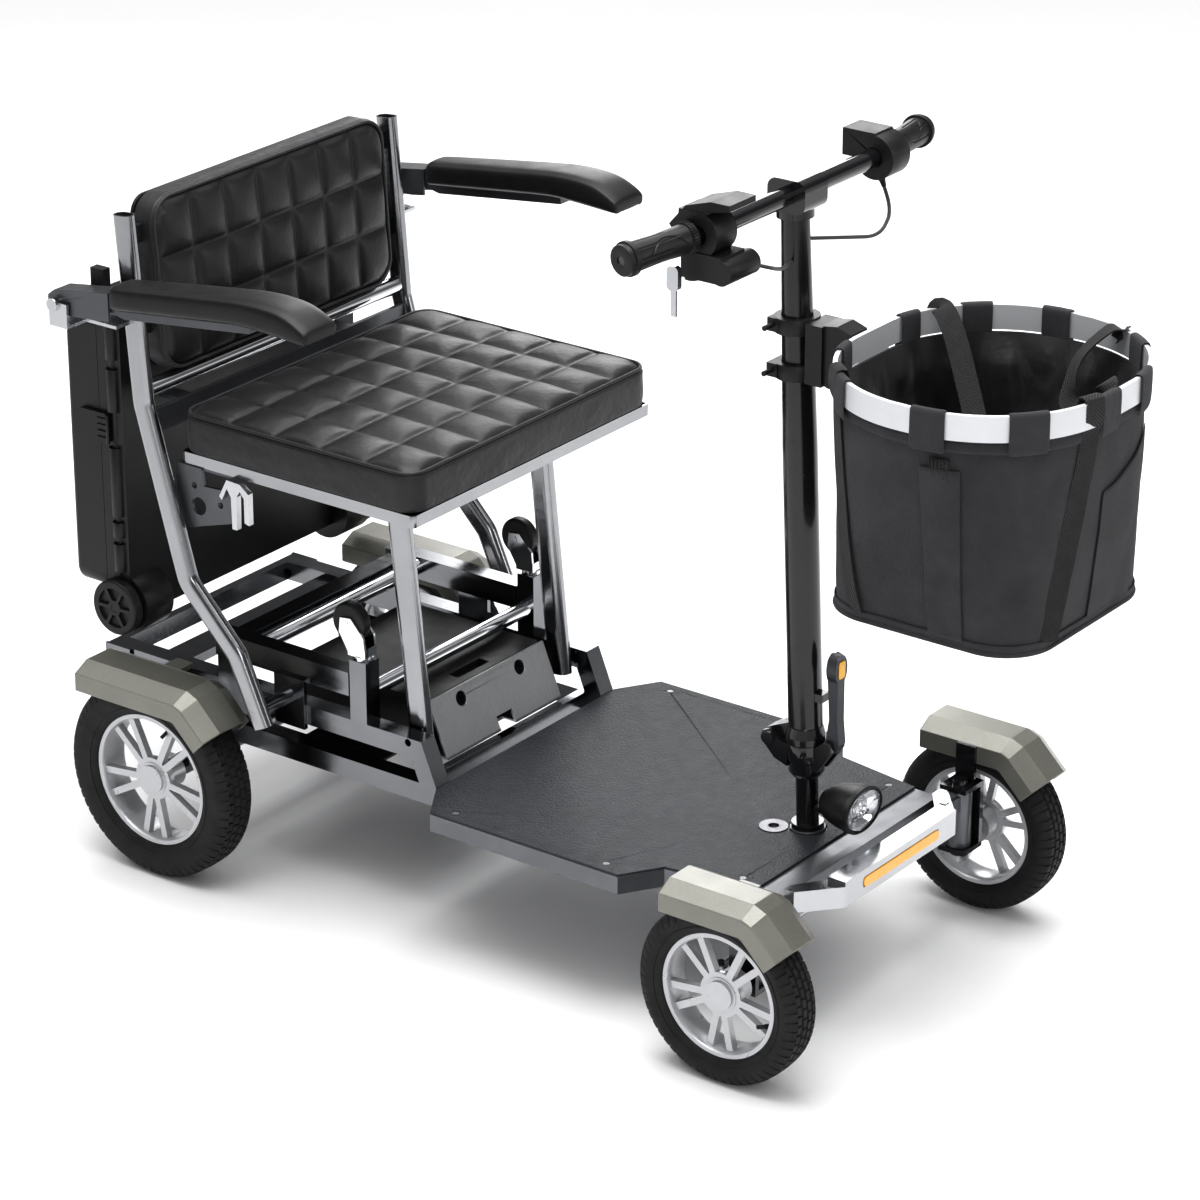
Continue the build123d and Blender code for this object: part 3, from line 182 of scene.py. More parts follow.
GUN = mat("polished_gunmetal", (0.20, 0.205, 0.215), rough=0.17, metal=1.0, var=0.10, vscale=9, rvar=0.05, rscale=30,
          bumps=(("noise", 500, 0.00002),), brushed=(6, 1, 6))
BUMPM = mat("polished_bumper", (0.50, 0.505, 0.52), rough=0.16, metal=1.0, var=0.05, vscale=20, rvar=0.05, bumps=(("noise", 700, 0.00002),), brushed=(1, 30, 1))
SCREW = mat("dark_screw_steel", (0.16, 0.16, 0.17), rough=0.35, metal=1.0, var=0.2, vscale=200, rvar=0.08, bumps=(("noise", 900, 0.00004),))
GUNL = mat("light_gunmetal", (0.33, 0.335, 0.345), rough=0.2, metal=1.0, var=0.08, vscale=9, rvar=0.06, rscale=30,
           bumps=(("noise", 600, 0.00002),), brushed=(6, 1, 6))
CHROME = mat("mirror_chrome", (0.82, 0.83, 0.85), rough=0.07, metal=1.0, var=0.03, rvar=0.03)
SILVER = mat("satin_silver", (0.52, 0.525, 0.54), rough=0.24, metal=1.0, var=0.05, vscale=20, rvar=0.07,
             bumps=(("noise", 900, 0.00002),))
RIMAL = mat("painted_silver_rim", (0.47, 0.475, 0.49), rough=0.30, metal=0.5, coat=0.35, coat_rough=0.15, var=0.04, rvar=0.04,
            speck=0.25, speck_scale=2600)
BASKAL = mat("anodised_silver", (0.66, 0.67, 0.69), rough=0.36, metal=0.35, var=0.04, rvar=0.07, brushed=(1, 1, 60),
             bumps=(("noise", 700, 0.00002, (1, 1, 12)),))
FENDER = mat("champagne_metallic", (0.180, 0.178, 0.156), rough=0.36, metal=0.5, coat=0.35, coat_rough=0.22, var=0.06,
             speck=0.35, speck_scale=1500, bumps=(("noise", 700, 0.00005),))
TYRE = mat("tyre_rubber", (0.0075, 0.0075, 0.008), rough=0.68, var=0.25, vscale=60, rvar=0.08, spec=0.4,
           bumps=(("noise", 900, 0.00015), ("noise", 120, 0.0002)))
RUBBER = mat("soft_rubber", (0.0095, 0.0095, 0.010), rough=0.42, var=0.2, vscale=50, rvar=0.06, bumps=(("noise", 1400, 0.00006),))
MAT = mat("deck_rubber", (0.021, 0.024, 0.028), rough=0.50, var=0.14, vscale=10, rvar=0.07, rscale=60, spec=0.42,
          bumps=(("cells", 340, 0.0007), ("noise", 620, 0.0005)))
DECKF = mat("deck_edge_metal", (0.15, 0.155, 0.165), rough=0.33, metal=0.75, var=0.08, rvar=0.06, bumps=(("noise", 800, 0.00003),))
BLK = mat("black_gloss_paint", (0.007, 0.007, 0.008), rough=0.18, coat=0.7, coat_rough=0.06, var=0.15, rvar=0.05,
          bumps=(("noise", 300, 0.00002),))
BLKS = mat("black_satin_paint", (0.008, 0.008, 0.009), rough=0.24, coat=0.5, coat_rough=0.12, var=0.15, rvar=0.06,
           bumps=(("noise", 900, 0.00003),))
PLAS = mat("black_moulded_plastic", (0.011, 0.011, 0.012), rough=0.42, var=0.15, vscale=30, rvar=0.06,
           bumps=(("cells", 1100, 0.00007), ("noise", 500, 0.00004)))
CASEP = mat("black_case_plastic", (0.010, 0.010, 0.011), rough=0.36, var=0.14, vscale=16, rvar=0.06,
            bumps=(("cells", 1300, 0.00006), ("noise", 40, 0.0001)))
GREYP = mat("dark_grey_plastic", (0.055, 0.058, 0.062), rough=0.38, var=0.12, rvar=0.06, bumps=(("cells", 1300, 0.00006),))
GREYM = mat("dark_grey_metal", (0.105, 0.108, 0.115), rough=0.36, metal=0.8, var=0.10, rvar=0.07, bumps=(("noise", 900, 0.00004),))
LEVER = mat("grey_cast_lever", (0.060, 0.063, 0.070), rough=0.42, metal=0.5, var=0.10, rvar=0.06,
            speck=0.2, speck_scale=1600, bumps=(("cells", 1200, 0.00008),))
PANEL = mat("light_grey_panel", (0.36, 0.365, 0.375), rough=0.30, metal=0.9, var=0.06, vscale=12, rvar=0.05, brushed=(30, 1, 1),
            bumps=(("noise", 900, 0.00003),))
# the amber reflector's small emission is a painted glow: it is no lamp
AMBER = mat("amber_reflector", (1.0, 0.44, 0.035), rough=0.22, coat=0.8, coat_rough=0.05, var=0.10, vscale=300, emit=0.10,
            bumps=(("cells", 420, 0.0006),))
LABEL = mat("amber_label", (0.90, 0.46, 0.03), rough=0.35, coat=0.3, var=0.06, vscale=80, rvar=0.05)
GLASS = mat("clear_lens", (0.97, 0.98, 1.0), rough=0.03, trans=0.95, ior=1.46, var=0.01, rvar=0.01, coat=0.3, coat_rough=0.02)
LEATHER = mat("black_leather", (0.0105, 0.0105, 0.0112), rough=0.40, var=0.18, vscale=18, rvar=0.07, rscale=25, coat=0.10, coat_rough=0.35,
              sheen=0.03, bumps=(("cracks", 900, 0.00020), ("noise", 160, 0.0003), ("noise", 40, 0.0006)))
# side band and top piping of the cushions: a lighter copy of the black leather, its raised base colour is painted light
# on the side faces
LEATHER_SIDE_LIT = mat("black_leather_side_painted_lighter", (0.022, 0.022, 0.0235), rough=0.46, var=0.14, vscale=24, rvar=0.06, sheen=0.10,
               bumps=(("cracks", 900, 0.0002), ("noise", 120, 0.0007)))
THREAD = mat("seam_thread", (0.02, 0.02, 0.021), rough=0.6, var=0.2, vscale=200, bumps=(("noise", 2200, 0.0002),))
CABLE = mat("grey_cable_sheath", (0.055, 0.055, 0.058), rough=0.4, var=0.12, vscale=80, bumps=(("noise", 1500, 0.00005),))
FABRIC = mat("coarse_black_fabric", (0.043, 0.043, 0.047), rough=0.88, var=0.22, vscale=22, sheen=0.10, sheen_rough=0.5, spec=0.3,
             speck=0.18, speck_scale=1300, bumps=(("noise", 60, 0.0006),), weave=(0.0011, 0.00035, 0.55))
LINING = mat("black_satin_lining", (0.016, 0.016, 0.018), rough=0.34, var=0.2, vscale=14, rvar=0.05, sheen=0.15, spec=0.55,
             bumps=(("noise", 45, 0.0012),), weave=(0.0006, 0.00008, 0.25))
WEB = mat("black_webbing", (0.026, 0.026, 0.027), rough=0.85, var=0.2, vscale=60, sheen=0.12, spec=0.3, weave=(0.0021, 0.0006, 0.6))

NODE_MATS = {
    GUN: "side_frame_left side_frame_right cross_members",
    GUNL: "seat_frame_tubes seat_pan",
    CHROME: "chrome_tubes caster_fork_left caster_fork_right",
    SILVER: "silver_brackets tie_rod key",
    BUMPM: "bumper",
    SCREW: "deck_fasteners",
    RIMAL: "front_rim_left front_rim_right rear_rim_left rear_rim_right",
    BASKAL: "basket_rim",
    FENDER: "front_fender_left front_fender_right rear_fenders",
    TYRE: "front_tyre_left front_tyre_right rear_tyre_left rear_tyre_right",
    RUBBER: "arm_pad_left arm_pad_right caster_wheel_left caster_wheel_right grip_left throttle_grip",
    MAT: "deck_mat",
    DECKF: "deck_frame",
    BLK: "column_foot handlebar knuckle_left knuckle_right",
    BLKS: "column_tube",
    PLAS: "battery_pack back_board control_right control_left basket_holder headlight_housing case_wheel_left case_wheel_right",
    CASEP: "case_front_shell case_lid case_latch",
    LEVER: "fold_lever",
    GREYM: "seat_brackets arm_channel_left arm_channel_right",
    PANEL: "battery_panel",
    AMBER: "bumper_reflector",
    GLASS: "headlight_lens",
    LEATHER: "seat_cushion back_cushion",
    CABLE: "control_cables",
    FABRIC: "basket_bag",
}
for m, names in NODE_MATS.items():
    for n in names.split():
        o = nodes[n]
        o.data.materials.clear()
        o.data.materials.append(m)


def soften(name, width=0.0012, seg=2, angle=32):
    """rounded edges on a CAD piece"""
    o = nodes[name]
    w = o.modifiers.new("weld", "WELD")
    w.merge_threshold = 0.00002
    b = o.modifiers.new("round", "BEVEL")
    b.width = width
    b.segments = seg
    b.limit_method = "ANGLE"
    b.angle_limit = math.radians(angle)
    b.use_clamp_overlap = True
    b.harden_normals = True
    b.miter_outer = "MITER_ARC"


for _n2 in ("front_fender_left", "front_fender_right", "rear_fenders"):
    soften(_n2, 0.0022, 3, 20)
for _n2 in ("side_frame_left", "side_frame_right", "cross_members", "seat_pan", "deck_frame", "deck_mat", "battery_pack", "battery_panel",
            "arm_channel_left", "arm_channel_right", "seat_brackets", "silver_brackets"):
    soften(_n2, 0.0012, 2, 35)
for _n2 in ("front_rim_left", "front_rim_right", "rear_rim_left", "rear_rim_right"):
    soften(_n2, 0.0012, 2, 38)
for _n2 in ("column_foot", "fold_lever", "control_right", "control_left", "basket_holder", "knuckle_left", "knuckle_right", "case_front_shell",
            "case_lid", "case_latch", "caster_fork_left", "caster_fork_right", "case_wheel_left", "case_wheel_right", "back_board", "headlight_housing"):
    soften(_n2, 0.0009, 2, 38)

# ------------------------------------------------------------------ mesh helpers
def grid_piece(name, P, material, body, closed_u=False, closed_v=False, flip=False, smooth=True, cap_v=None):
    """P[i][j] -> quads, with UVs in metres"""
    P = np.asarray(P, float)
    nu, nv = P.shape[:2]
    iu = nu if closed_u else nu - 1
    jv = nv if closed_v else nv - 1
    du = np.linalg.norm(np.roll(P, -1, 0) - P, axis=2)
    dv = np.linalg.norm(np.roll(P, -1, 1) - P, axis=2)
    U = np.vstack([np.zeros((1, nv)), np.cumsum(np.repeat(du.mean(1)[:, None], nv, 1), 0)])
    V = np.hstack([np.zeros((nu, 1)), np.cumsum(dv, 1)])
    V = np.vstack([V, V[:1]])
    faces, uvs = [], []
    for i in range(iu):
        i2 = (i + 1) % nu
        for j in range(jv):
            j2 = (j + 1) % nv
            q = [(i, j, i, j), (i2, j, i + 1, j), (i2, j2, i + 1, j + 1), (i, j2, i, j + 1)]
            if flip:
                q = q[::-1]
            faces.append([a * nv + b for a, b, _, _ in q])
            uvs.extend([(U[a][min(b, nv - 1)], V[a][b]) for _, _, a, b in q])
    me = bpy.data.meshes.new(name)
    me.from_pydata(P.reshape(-1, 3).tolist(), [], faces)
    lay = me.uv_layers.new(name="UVMap")
    lay.data.foreach_set("uv", np.asarray(uvs, np.float32).ravel())
    if smooth:
        me.polygons.foreach_set("use_smooth", [True] * len(me.polygons))
    me.materials.append(material)
    me.update()
    o = bpy.data.objects.new(name, me)
    S.collection.objects.link(o)
    if body:
        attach(o, body)
    return o


def tube(name, pts, r, material, body, closed=False, n=10, flat=None, up=None):
    """a round (or flat) section swept along points"""
    pts = [Vector(p) for p in pts]
    N = len(pts)
    rows = []
    prev = None
    for i, p in enumerate(pts):
        a = pts[(i - 1) % N] if (closed or i > 0) else p
        b = pts[(i + 1) % N] if (closed or i < N - 1) else p
        t = (b - a).normalized()
        if up is not None:
            u = Vector(up)
        elif prev is None:
            u = Vector((0, 0, 1)) if abs(t.z) < 0.9 else Vector((1, 0, 0))
        else:
            u = prev
        s = t.cross(u).normalized()
        u = s.cross(t).normalized()
        prev = u
        ra, rb = (r, r) if flat is None else flat
        rows.append([p + s * (ra * math.cos(k)) + u * (rb * math.sin(k)) for k in [2 * math.pi * q / n for q in range(n)]])
    P = np.array([[list(v) for v in row] for row in rows])
    o = grid_piece(name, P, material, body, closed_u=closed, closed_v=True, flip=True)
    if not closed:
        bm = bmesh.new()
        bm.from_mesh(o.data)
        bm.verts.ensure_lookup_table()
        bm.faces.new([bm.verts[k] for k in range(n)])
        bm.faces.new([bm.verts[(N - 1) * n + k] for k in range(n)][::-1])
        bmesh.ops.recalc_face_normals(bm, faces=bm.faces)
        bm.to_mesh(o.data)
        bm.free()
    return o


def rr_point(hx, hy, r, t):
    """point at parameter t in [0,1) along a rounded rectangle, even in arc length, starting at (+hx, 0)"""
    r = min(r, hx, hy)
    sx, sy, q = hx - r, hy - r, math.pi * r / 2
    segs = [("l", (hx, 0), (hx, sy)), ("a", (sx, sy), 0), ("l", (sx, hy), (-sx, hy)), ("a", (-sx, sy), 90),
            ("l", (-hx, sy), (-hx, -sy)), ("a", (-sx, -sy), 180), ("l", (-sx, -hy), (sx, -hy)), ("a", (sx, -sy), 270),
            ("l", (hx, -sy), (hx, 0))]
    L = [math.dist(s[1], s[2]) if s[0] == "l" else q for s in segs]
    d = (t % 1.0) * sum(L)
    for s, l in zip(segs, L):
        if d <= l + 1e-12:
            f = d / l if l > 0 else 0
            if s[0] == "l":
                return (s[1][0] + (s[2][0] - s[1][0]) * f, s[1][1] + (s[2][1] - s[1][1]) * f)
            a = math.radians(s[2] + 90 * f)
            return (s[1][0] + r * math.cos(a), s[1][1] + r * math.sin(a))
        d -= l
    return (hx, 0)


def spun(name, axis_o, axis_d, prof, material, body, n=96, mod=None, closed=False, smooth=True, u0=(0, 0, 1)):
    """profile [(along, radius)] turned about an axis; mod(t_index, angle, along, radius) changes the radius"""
    d = Vector(axis_d).normalized()
    a = Vector(u0)
    a = (a - d * a.dot(d)).normalized()
    b = d.cross(a)
    o0 = Vector(axis_o)
    P = np.zeros((n, len(prof), 3))
    for i in range(n):
        th = 2 * math.pi * i / n
        for j, (x, r) in enumerate(prof):
            if mod:
                r = mod(j, th, x, r)
            P[i, j] = o0 + d * x + (a * math.cos(th) + b * math.sin(th)) * r
    return grid_piece(name, P, material, body, closed_u=True, closed_v=closed, smooth=smooth, flip=False)


def fix_normals(o):
    bm = bmesh.new()
    bm.from_mesh(o.data)
    bmesh.ops.recalc_face_normals(bm, faces=bm.faces)
    bm.to_mesh(o.data)
    bm.free()


def shade_auto(o, deg=40):
    me = o.data
    bm = bmesh.new()
    bm.from_mesh(me)
    lim = math.radians(deg)
    for e in bm.edges:
        e.smooth = not (len(e.link_faces) == 2 and e.calc_face_angle(0) > lim)
    bm.to_mesh(me)
    bm.free()


# ------------------------------------------------------------------ quilted cushions
def cushion(name, node, M4, hw, hd, rc, h, nx, ny, amp, crown, under, edge=0.007):
    """M4 maps (x across, y deep, z up from the underside) to the row frame"""
    c, g = 14, 12
    def axis(ncell, half):
        out = []
        for k in range(ncell):
            for q in range(c):
                f = q / c
                f = 0.5 - 0.5 * math.cos(math.pi * f) if False else f
                out.append((k + f) / ncell)
        out.append(1.0)
        return out
    ax, ay = axis(nx, hw), axis(ny, hd)
    fx, fy = hw - edge, hd - edge
    rng = random.Random(7)
    cellh = {(i, j): 1.0 + rng.uniform(-0.12, 0.12) for i in range(nx) for j in range(ny)}
    wob = lambda a, b, s: noise.noise(Vector((a * s, b * s, 3.1)))

    def plan(a, b, hx, hy, r):
        """a, b in [-1, 1] to a point of the rounded rectangle"""
        x, y = a * hx, b * hy
        m = max(abs(a), abs(b))
        if m < 1e-9:
            return 0.0, 0.0
        qx, qy = a / m * hx, b / m * hy
        cx, cy = max(-hx + r, min(hx - r, qx)), max(-hy + r, min(hy - r, qy))
        dx, dy = qx - cx, qy - cy
        l = math.hypot(dx, dy)
        if l > 1e-9:
            px, py = cx + dx / l * min(l, r), cy + dy / l * min(l, r)
        else:
            px, py = qx, qy
        w = max(0.0, (m - 0.72) / 0.28)
        w = w * w * (3 - 2 * w)
        return x + (px * m - x) * w, y + (py * m - y) * w

    NX, NY = len(ax), len(ay)
    top = np.zeros((NX, NY, 3))
    seam = np.zeros((NX, NY))
    for i, u in enumerate(ax):
        for j, v in enumerate(ay):
            a, b = 2 * u - 1, 2 * v - 1
            x, y = plan(a, b, fx, fy, rc - edge * 0.4)
            cu, cv = u * nx, v * ny
            su, sv = 2 * (cu - math.floor(cu)) - 1, 2 * (cv - math.floor(cv)) - 1
            if u >= 1: su = 1.0
            if v >= 1: sv = 1.0
            ci = (min(nx - 1, int(cu)), min(ny - 1, int(cv)))
            # pillow, steep at the seams and flat in the middle
            pu, pv = (1 - abs(su) ** 2.6), (1 - abs(sv) ** 2.6)
            pil = (max(0, pu) * max(0, pv)) ** 0.42
            z = h - edge * 0.35 + crown * (1 - a * a) * (1 - b * b) + amp * cellh[ci] * pil
            z += 0.0007 * wob(x * 1000, y * 1000, 0.021) * pil
            top[i, j] = (x, y, z)
            seam[i, j] = 1.0 if (abs(su) > 0.999 or abs(sv) > 0.999) else 0.0
    # seams wander a little, as sewn lines do
    for i in range(NX):
        for j in range(NY):
            x, y, z = top[i, j]
            edge_d = min(i, NX - 1 - i, j, NY - 1 - j)
            if edge_d > 3:
                top[i, j, 0] += 0.0010 * wob(x * 1000, y * 1000, 0.013)
                top[i, j, 1] += 0.0010 * wob(y * 1000 + 400, x * 1000, 0.013)
    verts = [tuple(p) for p in top.reshape(-1, 3)]
    faces = []
    idx = lambda i, j: i * NY + j
    for i in range(NX - 1):
        for j in range(NY - 1):
            faces.append((idx(i, j), idx(i + 1, j), idx(i + 1, j + 1), idx(i, j + 1)))
    ring = [idx(i, 0) for i in range(NX)] + [idx(NX - 1, j) for j in range(1, NY)] + \
           [idx(i, NY - 1) for i in range(NX - 2, -1, -1)] + [idx(0, j) for j in range(NY - 2, 0, -1)]
    nr = len(ring)
    base_ring = [top.reshape(-1, 3)[k] for k in ring]
    rows = [ring]
    side = []
    # welt line, then the side band, then the underside
    prof = [(0.0022, -0.0022), (0.0036, -0.0014)] + [(edge * 0.98 + 0.0011 * math.sin(math.pi * q / g), -(edge * 0.55) - (h - edge * 0.9 - under) * q / g) for q in range(0, g + 1)]
    cxy = np.array([[p[0], p[1]] for p in base_ring])
    nrm = []
    for k in range(nr):
        t = cxy[(k + 1) % nr] - cxy[(k - 1) % nr]
        n2 = np.array([t[1], -t[0]])
        nrm.append(n2 / (np.linalg.norm(n2) + 1e-12))
    for q, (off, dz) in enumerate(prof):
        row = []
        for k in range(nr):
            x, y = cxy[k] + nrm[k] * off
            z = (h - edge * 0.35) + dz
            if 3 < q < len(prof) - 1:
                w = 0.0007 * noise.noise(Vector((x * 24, y * 24, z * 55))) + 0.0004 * noise.noise(Vector((x * 90, y * 90, z * 120)))
                x, y = x + nrm[k][0] * w, y + nrm[k][1] * w
            verts.append((x, y, z))
            row.append(len(verts) - 1)
        rows.append(row)
    for a, b in zip(rows, rows[1:]):
        for k in range(nr):
            k2 = (k + 1) % nr
            faces.append((a[k], b[k], b[k2], a[k2]))
    last = rows[-1]
    # underside, drawn in
    inner = []
    for k in range(nr):
        x, y, z = verts[last[k]]
        verts.append((x * 0.965, y * 0.965, under * 0.35 if under > 0 else z - 0.0005))
        inner.append(len(verts) - 1)
    for k in range(nr):
        k2 = (k + 1) % nr
        faces.append((last[k], inner[k], inner[k2], last[k2]))
    verts.append((0, 0, verts[inner[0]][2]))
    cidx = len(verts) - 1
    for k in range(nr):
        faces.append((inner[k], cidx, inner[(k + 1) % nr]))
    me = bpy.data.meshes.new(name)
    me.from_pydata(verts, [], faces)
    me.materials.append(LEATHER)
    me.materials.append(LEATHER_SIDE_LIT)
    ntop = (NX - 1) * (NY - 1)
    me.polygons.foreach_set("material_index", [0 if f < ntop + 2 * nr else 1 for f in range(len(me.polygons))])
    me.polygons.foreach_set("use_smooth", [True] * len(me.polygons))
    o = bpy.data.objects.new(name, me)
    S.collection.objects.link(o)
    fix_normals(o)
    # air pressure against the sewn lines
    vg = o.vertex_groups.new(name="pin")
    pins = [idx(i, j) for i in range(NX) for j in range(NY) if seam[i, j] or min(i, j, NX - 1 - i, NY - 1 - j) < 1]
    pins += list(range(NX * NY, len(verts)))
    vg.add(pins, 1.0, "REPLACE")
    rest = np.array(verts)
    cl = o.modifiers.new("cloth", "CLOTH")
    st = cl.settings
    st.quality = 4
    st.mass = 0.3
    st.tension_stiffness = 12
    st.compression_stiffness = 12
    st.shear_stiffness = 6
    st.bending_stiffness = 0.4
    st.use_pressure = True
    st.uniform_pressure_force = 3.2
    st.effector_weights.gravity = 0
    st.vertex_group_mass = "pin"
    st.shrink_min = -0.035
    cl.collision_settings.use_collision = False
    cl.point_cache.frame_start, cl.point_cache.frame_end = 1, 16
    for fr in range(1, 17):
        S.frame_set(fr)
    dg = bpy.context.evaluated_depsgraph_get()
    ev = o.evaluated_get(dg).to_mesh()
    new = np.zeros(len(ev.vertices) * 3)
    ev.vertices.foreach_get("co", new)
    new = new.reshape(-1, 3)
    o.evaluated_get(dg).to_mesh_clear()
    o.modifiers.remove(cl)
    S.frame_set(1)
    d = new - rest
    ln = np.linalg.norm(d, axis=1)
    k = np.where(ln > 0.004, 0.004 / np.maximum(ln, 1e-9), 1.0)
    d = d * k[:, None]
    d[~np.isfinite(d)] = 0
    # keep the rise of each panel and even out the small creases between its seams
    I = np.array([[idx(i, j) for j in range(NY)] for i in range(NX)])
    Z = d[I, 2] * (1.0 - np.array(seam, dtype=float))
    for _ in range(10):
        Q = Z.copy()
        Q[1:-1, 1:-1] = (Z[:-2, 1:-1] + Z[2:, 1:-1] + Z[1:-1, :-2] + Z[1:-1, 2:] + 2 * Z[1:-1, 1:-1]) / 6
        Z = Q * (1.0 - np.array(seam, dtype=float))
    d = np.zeros_like(d)
    d[I, 2] = Z * 0.6
    me.vertices.foreach_set("co", (rest + d).ravel())
    o.vertex_groups.clear()
    me.transform(M4)
    me.update()
    sub = o.modifiers.new("sub", "SUBSURF")
    sub.levels = sub.render_levels = 1
    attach(o, "chassis")
    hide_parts(node)
    # piping round the top edge and a second one low on the band
    for tag, off, z, r in (("a", edge * 0.62, h - edge * 0.42, 0.0021), ("b", edge * 0.98, h - edge * 1.25, 0.0007)):
        n = 260
        pts = []
        for q in range(n):
            x, y = rr_point(hw - edge + off, hd - edge + off, rc - edge * 0.4 + off, q / n)
            pts.append(M4 @ Vector((x, y, z)))
        p = tube(f"{name}_piping_{tag}", pts, r, LEATHER_SIDE_LIT if tag == "a" else THREAD, "chassis", closed=True, n=8)
        p if False else None
    return o


M_seat = Matrix.Translation((0, (0.1155 + 0.465) / 2, 0.5473))
seat = cushion("seat_cushion_quilted", "seat_cushion", M_seat, 0.2295, 0.1752, 0.022, 0.0510, 7, 5, 0.0062, 0.0035, 0.0003)
zd = Vector((0, -0.9978, 0.0668)).normalized()
xd = Vector((1, 0, 0))
yd = zd.cross(xd)
M_back = Matrix(((xd.x, yd.x, zd.x, 0), (xd.y, yd.y, zd.y, 0.497), (xd.z, yd.z, zd.z, 0.736), (0, 0, 0, 1))) @ Matrix.Translation((0, 0, -0.040))
back = cushion("back_cushion_quilted", "back_cushion", M_back, 0.2115, 0.1065, 0.030, 0.0340, 7, 3, 0.0072, 0.0025, 0.0003)

# ------------------------------------------------------------------ tyres
def tyre(name, node, body, wx, wy, wz, s, R, half, face, lugs):
    b = half - 0.007
    prof = []
    def add(x, r): prof.append((x, r))
    H = R - face
    side = [(-b, face + 0.0002), (-b - 0.0025, face + 0.002), (-half + 0.0022, face + 0.0065), (-half + 0.0018, face + 0.0085), (-half + 0.0008, face + 0.0088),
            (-half + 0.0008, face + 0.0100), (-half + 0.0014, face + 0.0103), (-half + 0.0004, face + H * 0.45), (-half, face + H * 0.56),
            (-half + 0.0002, R - 0.0125), (-half + 0.0016, R - 0.0080), (-half + 0.0042, R - 0.0042), (-half + 0.0080, R - 0.0016)]
    crown = []
    w = half - 0.0085
    gx = [-w, -0.66 * w, -0.60 * w, -0.50 * w, -0.44 * w, -0.10 * w, -0.05 * w, 0.05 * w, 0.10 * w, 0.44 * w, 0.50 * w, 0.60 * w, 0.66 * w, w]
    for x in gx:
        crown.append((x, R - 0.0010 * (x / w) ** 2 - 0.0001))
    prof = side + crown + [(-x, r) for x, r in side[::-1]]
    prof.insert(0, (0.0, face + 0.0002)) if False else None
    ns = len(side)
    groove = {ns + 2, ns + 3, ns + 6, ns + 7, ns + 10, ns + 11}
    # sample positions within one lug pitch
    fr = [0.0, 0.035, 0.20, 0.235, 0.5, 0.535, 0.70, 0.735]
    ths = [2 * math.pi * (k + f) / lugs for k in range(lugs) for f in fr]
    P = np.zeros((len(ths), len(prof), 3))
    for i, th in enumerate(ths):
        ph = i % len(fr)
        k = i // len(fr)
        for j, (x, r) in enumerate(prof):
            dr = 0.0
            if j in groove:
                dr -= 0.0022
            elif ns <= j < ns + len(gx):
                zone = 0 if j in (ns, ns + 1) else 1 if j in (ns + 4, ns + 5) else 2 if j in (ns + 8, ns + 9) else 3
                # sipes, staggered from rib to rib
                hit = ph in (1, 2) if zone in (0, 2) else ph in (5, 6)
                if hit:
                    dr -= 0.0017
                if zone in (0, 3) and ph in (5, 6) and k % 2 == 0:
                    dr -= 0.0008
            elif ns - 4 <= j < ns or ns + len(gx) <= j < ns + len(gx) + 4:
                if ph in (1, 2):
                    dr -= 0.0016
            elif ns - 6 <= j < ns - 4 or ns + len(gx) + 4 <= j < ns + len(gx) + 6:
                if ph in (1, 2):
                    dr -= 0.0005
            rr = r + dr
            P[i, j] = (wx + s * x, wy + rr * math.sin(th), wz + rr * math.cos(th))
    o = grid_piece(name, P, TYRE, body, closed_u=True, closed_v=True)
    fix_normals(o)
    shade_auto(o, 38)
    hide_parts(node)
    return o


for side, s in (("left", 1), ("right", -1)):
    tyre(f"front_tyre_treaded_{side}", f"front_tyre_{side}", f"front_wheel_{side}", s * 0.265, -0.350, 0.108, s, 0.108, 0.025, 0.0751, 56)
    tyre(f"rear_tyre_treaded_{side}", f"rear_tyre_{side}", f"rear_wheel_{side}", s * 0.252, 0.496, 0.127, s, 0.127, 0.0275, 0.0841, 62)
    # valve stems
    for w, wx, wy, wz, rr, hb in (("front", 0.265, -0.350, 0.108, 0.062, 0.019), ("rear", 0.252, 0.496, 0.127, 0.071, 0.0215)):
        a = math.radians(200 if w == "front" else 110)
        p0 = Vector((s * (wx + hb - 0.016), wy + (rr + 0.006) * math.cos(a), wz + (rr + 0.006) * math.sin(a)))
        p1 = Vector((s * (wx + hb + 0.001), wy + (rr - 0.004) * math.cos(a), wz + (rr - 0.004) * math.sin(a)))
        d = p1 - p0
        spun(f"{w}_valve_{side}", p0, d, [(0, 0.0001), (0, 0.0032), (d.length * 0.5, 0.0030), (d.length * 0.55, 0.0024), (d.length, 0.0024), (d.length, 0.0001)],
             RUBBER, f"{w}_wheel_{side}", n=14)

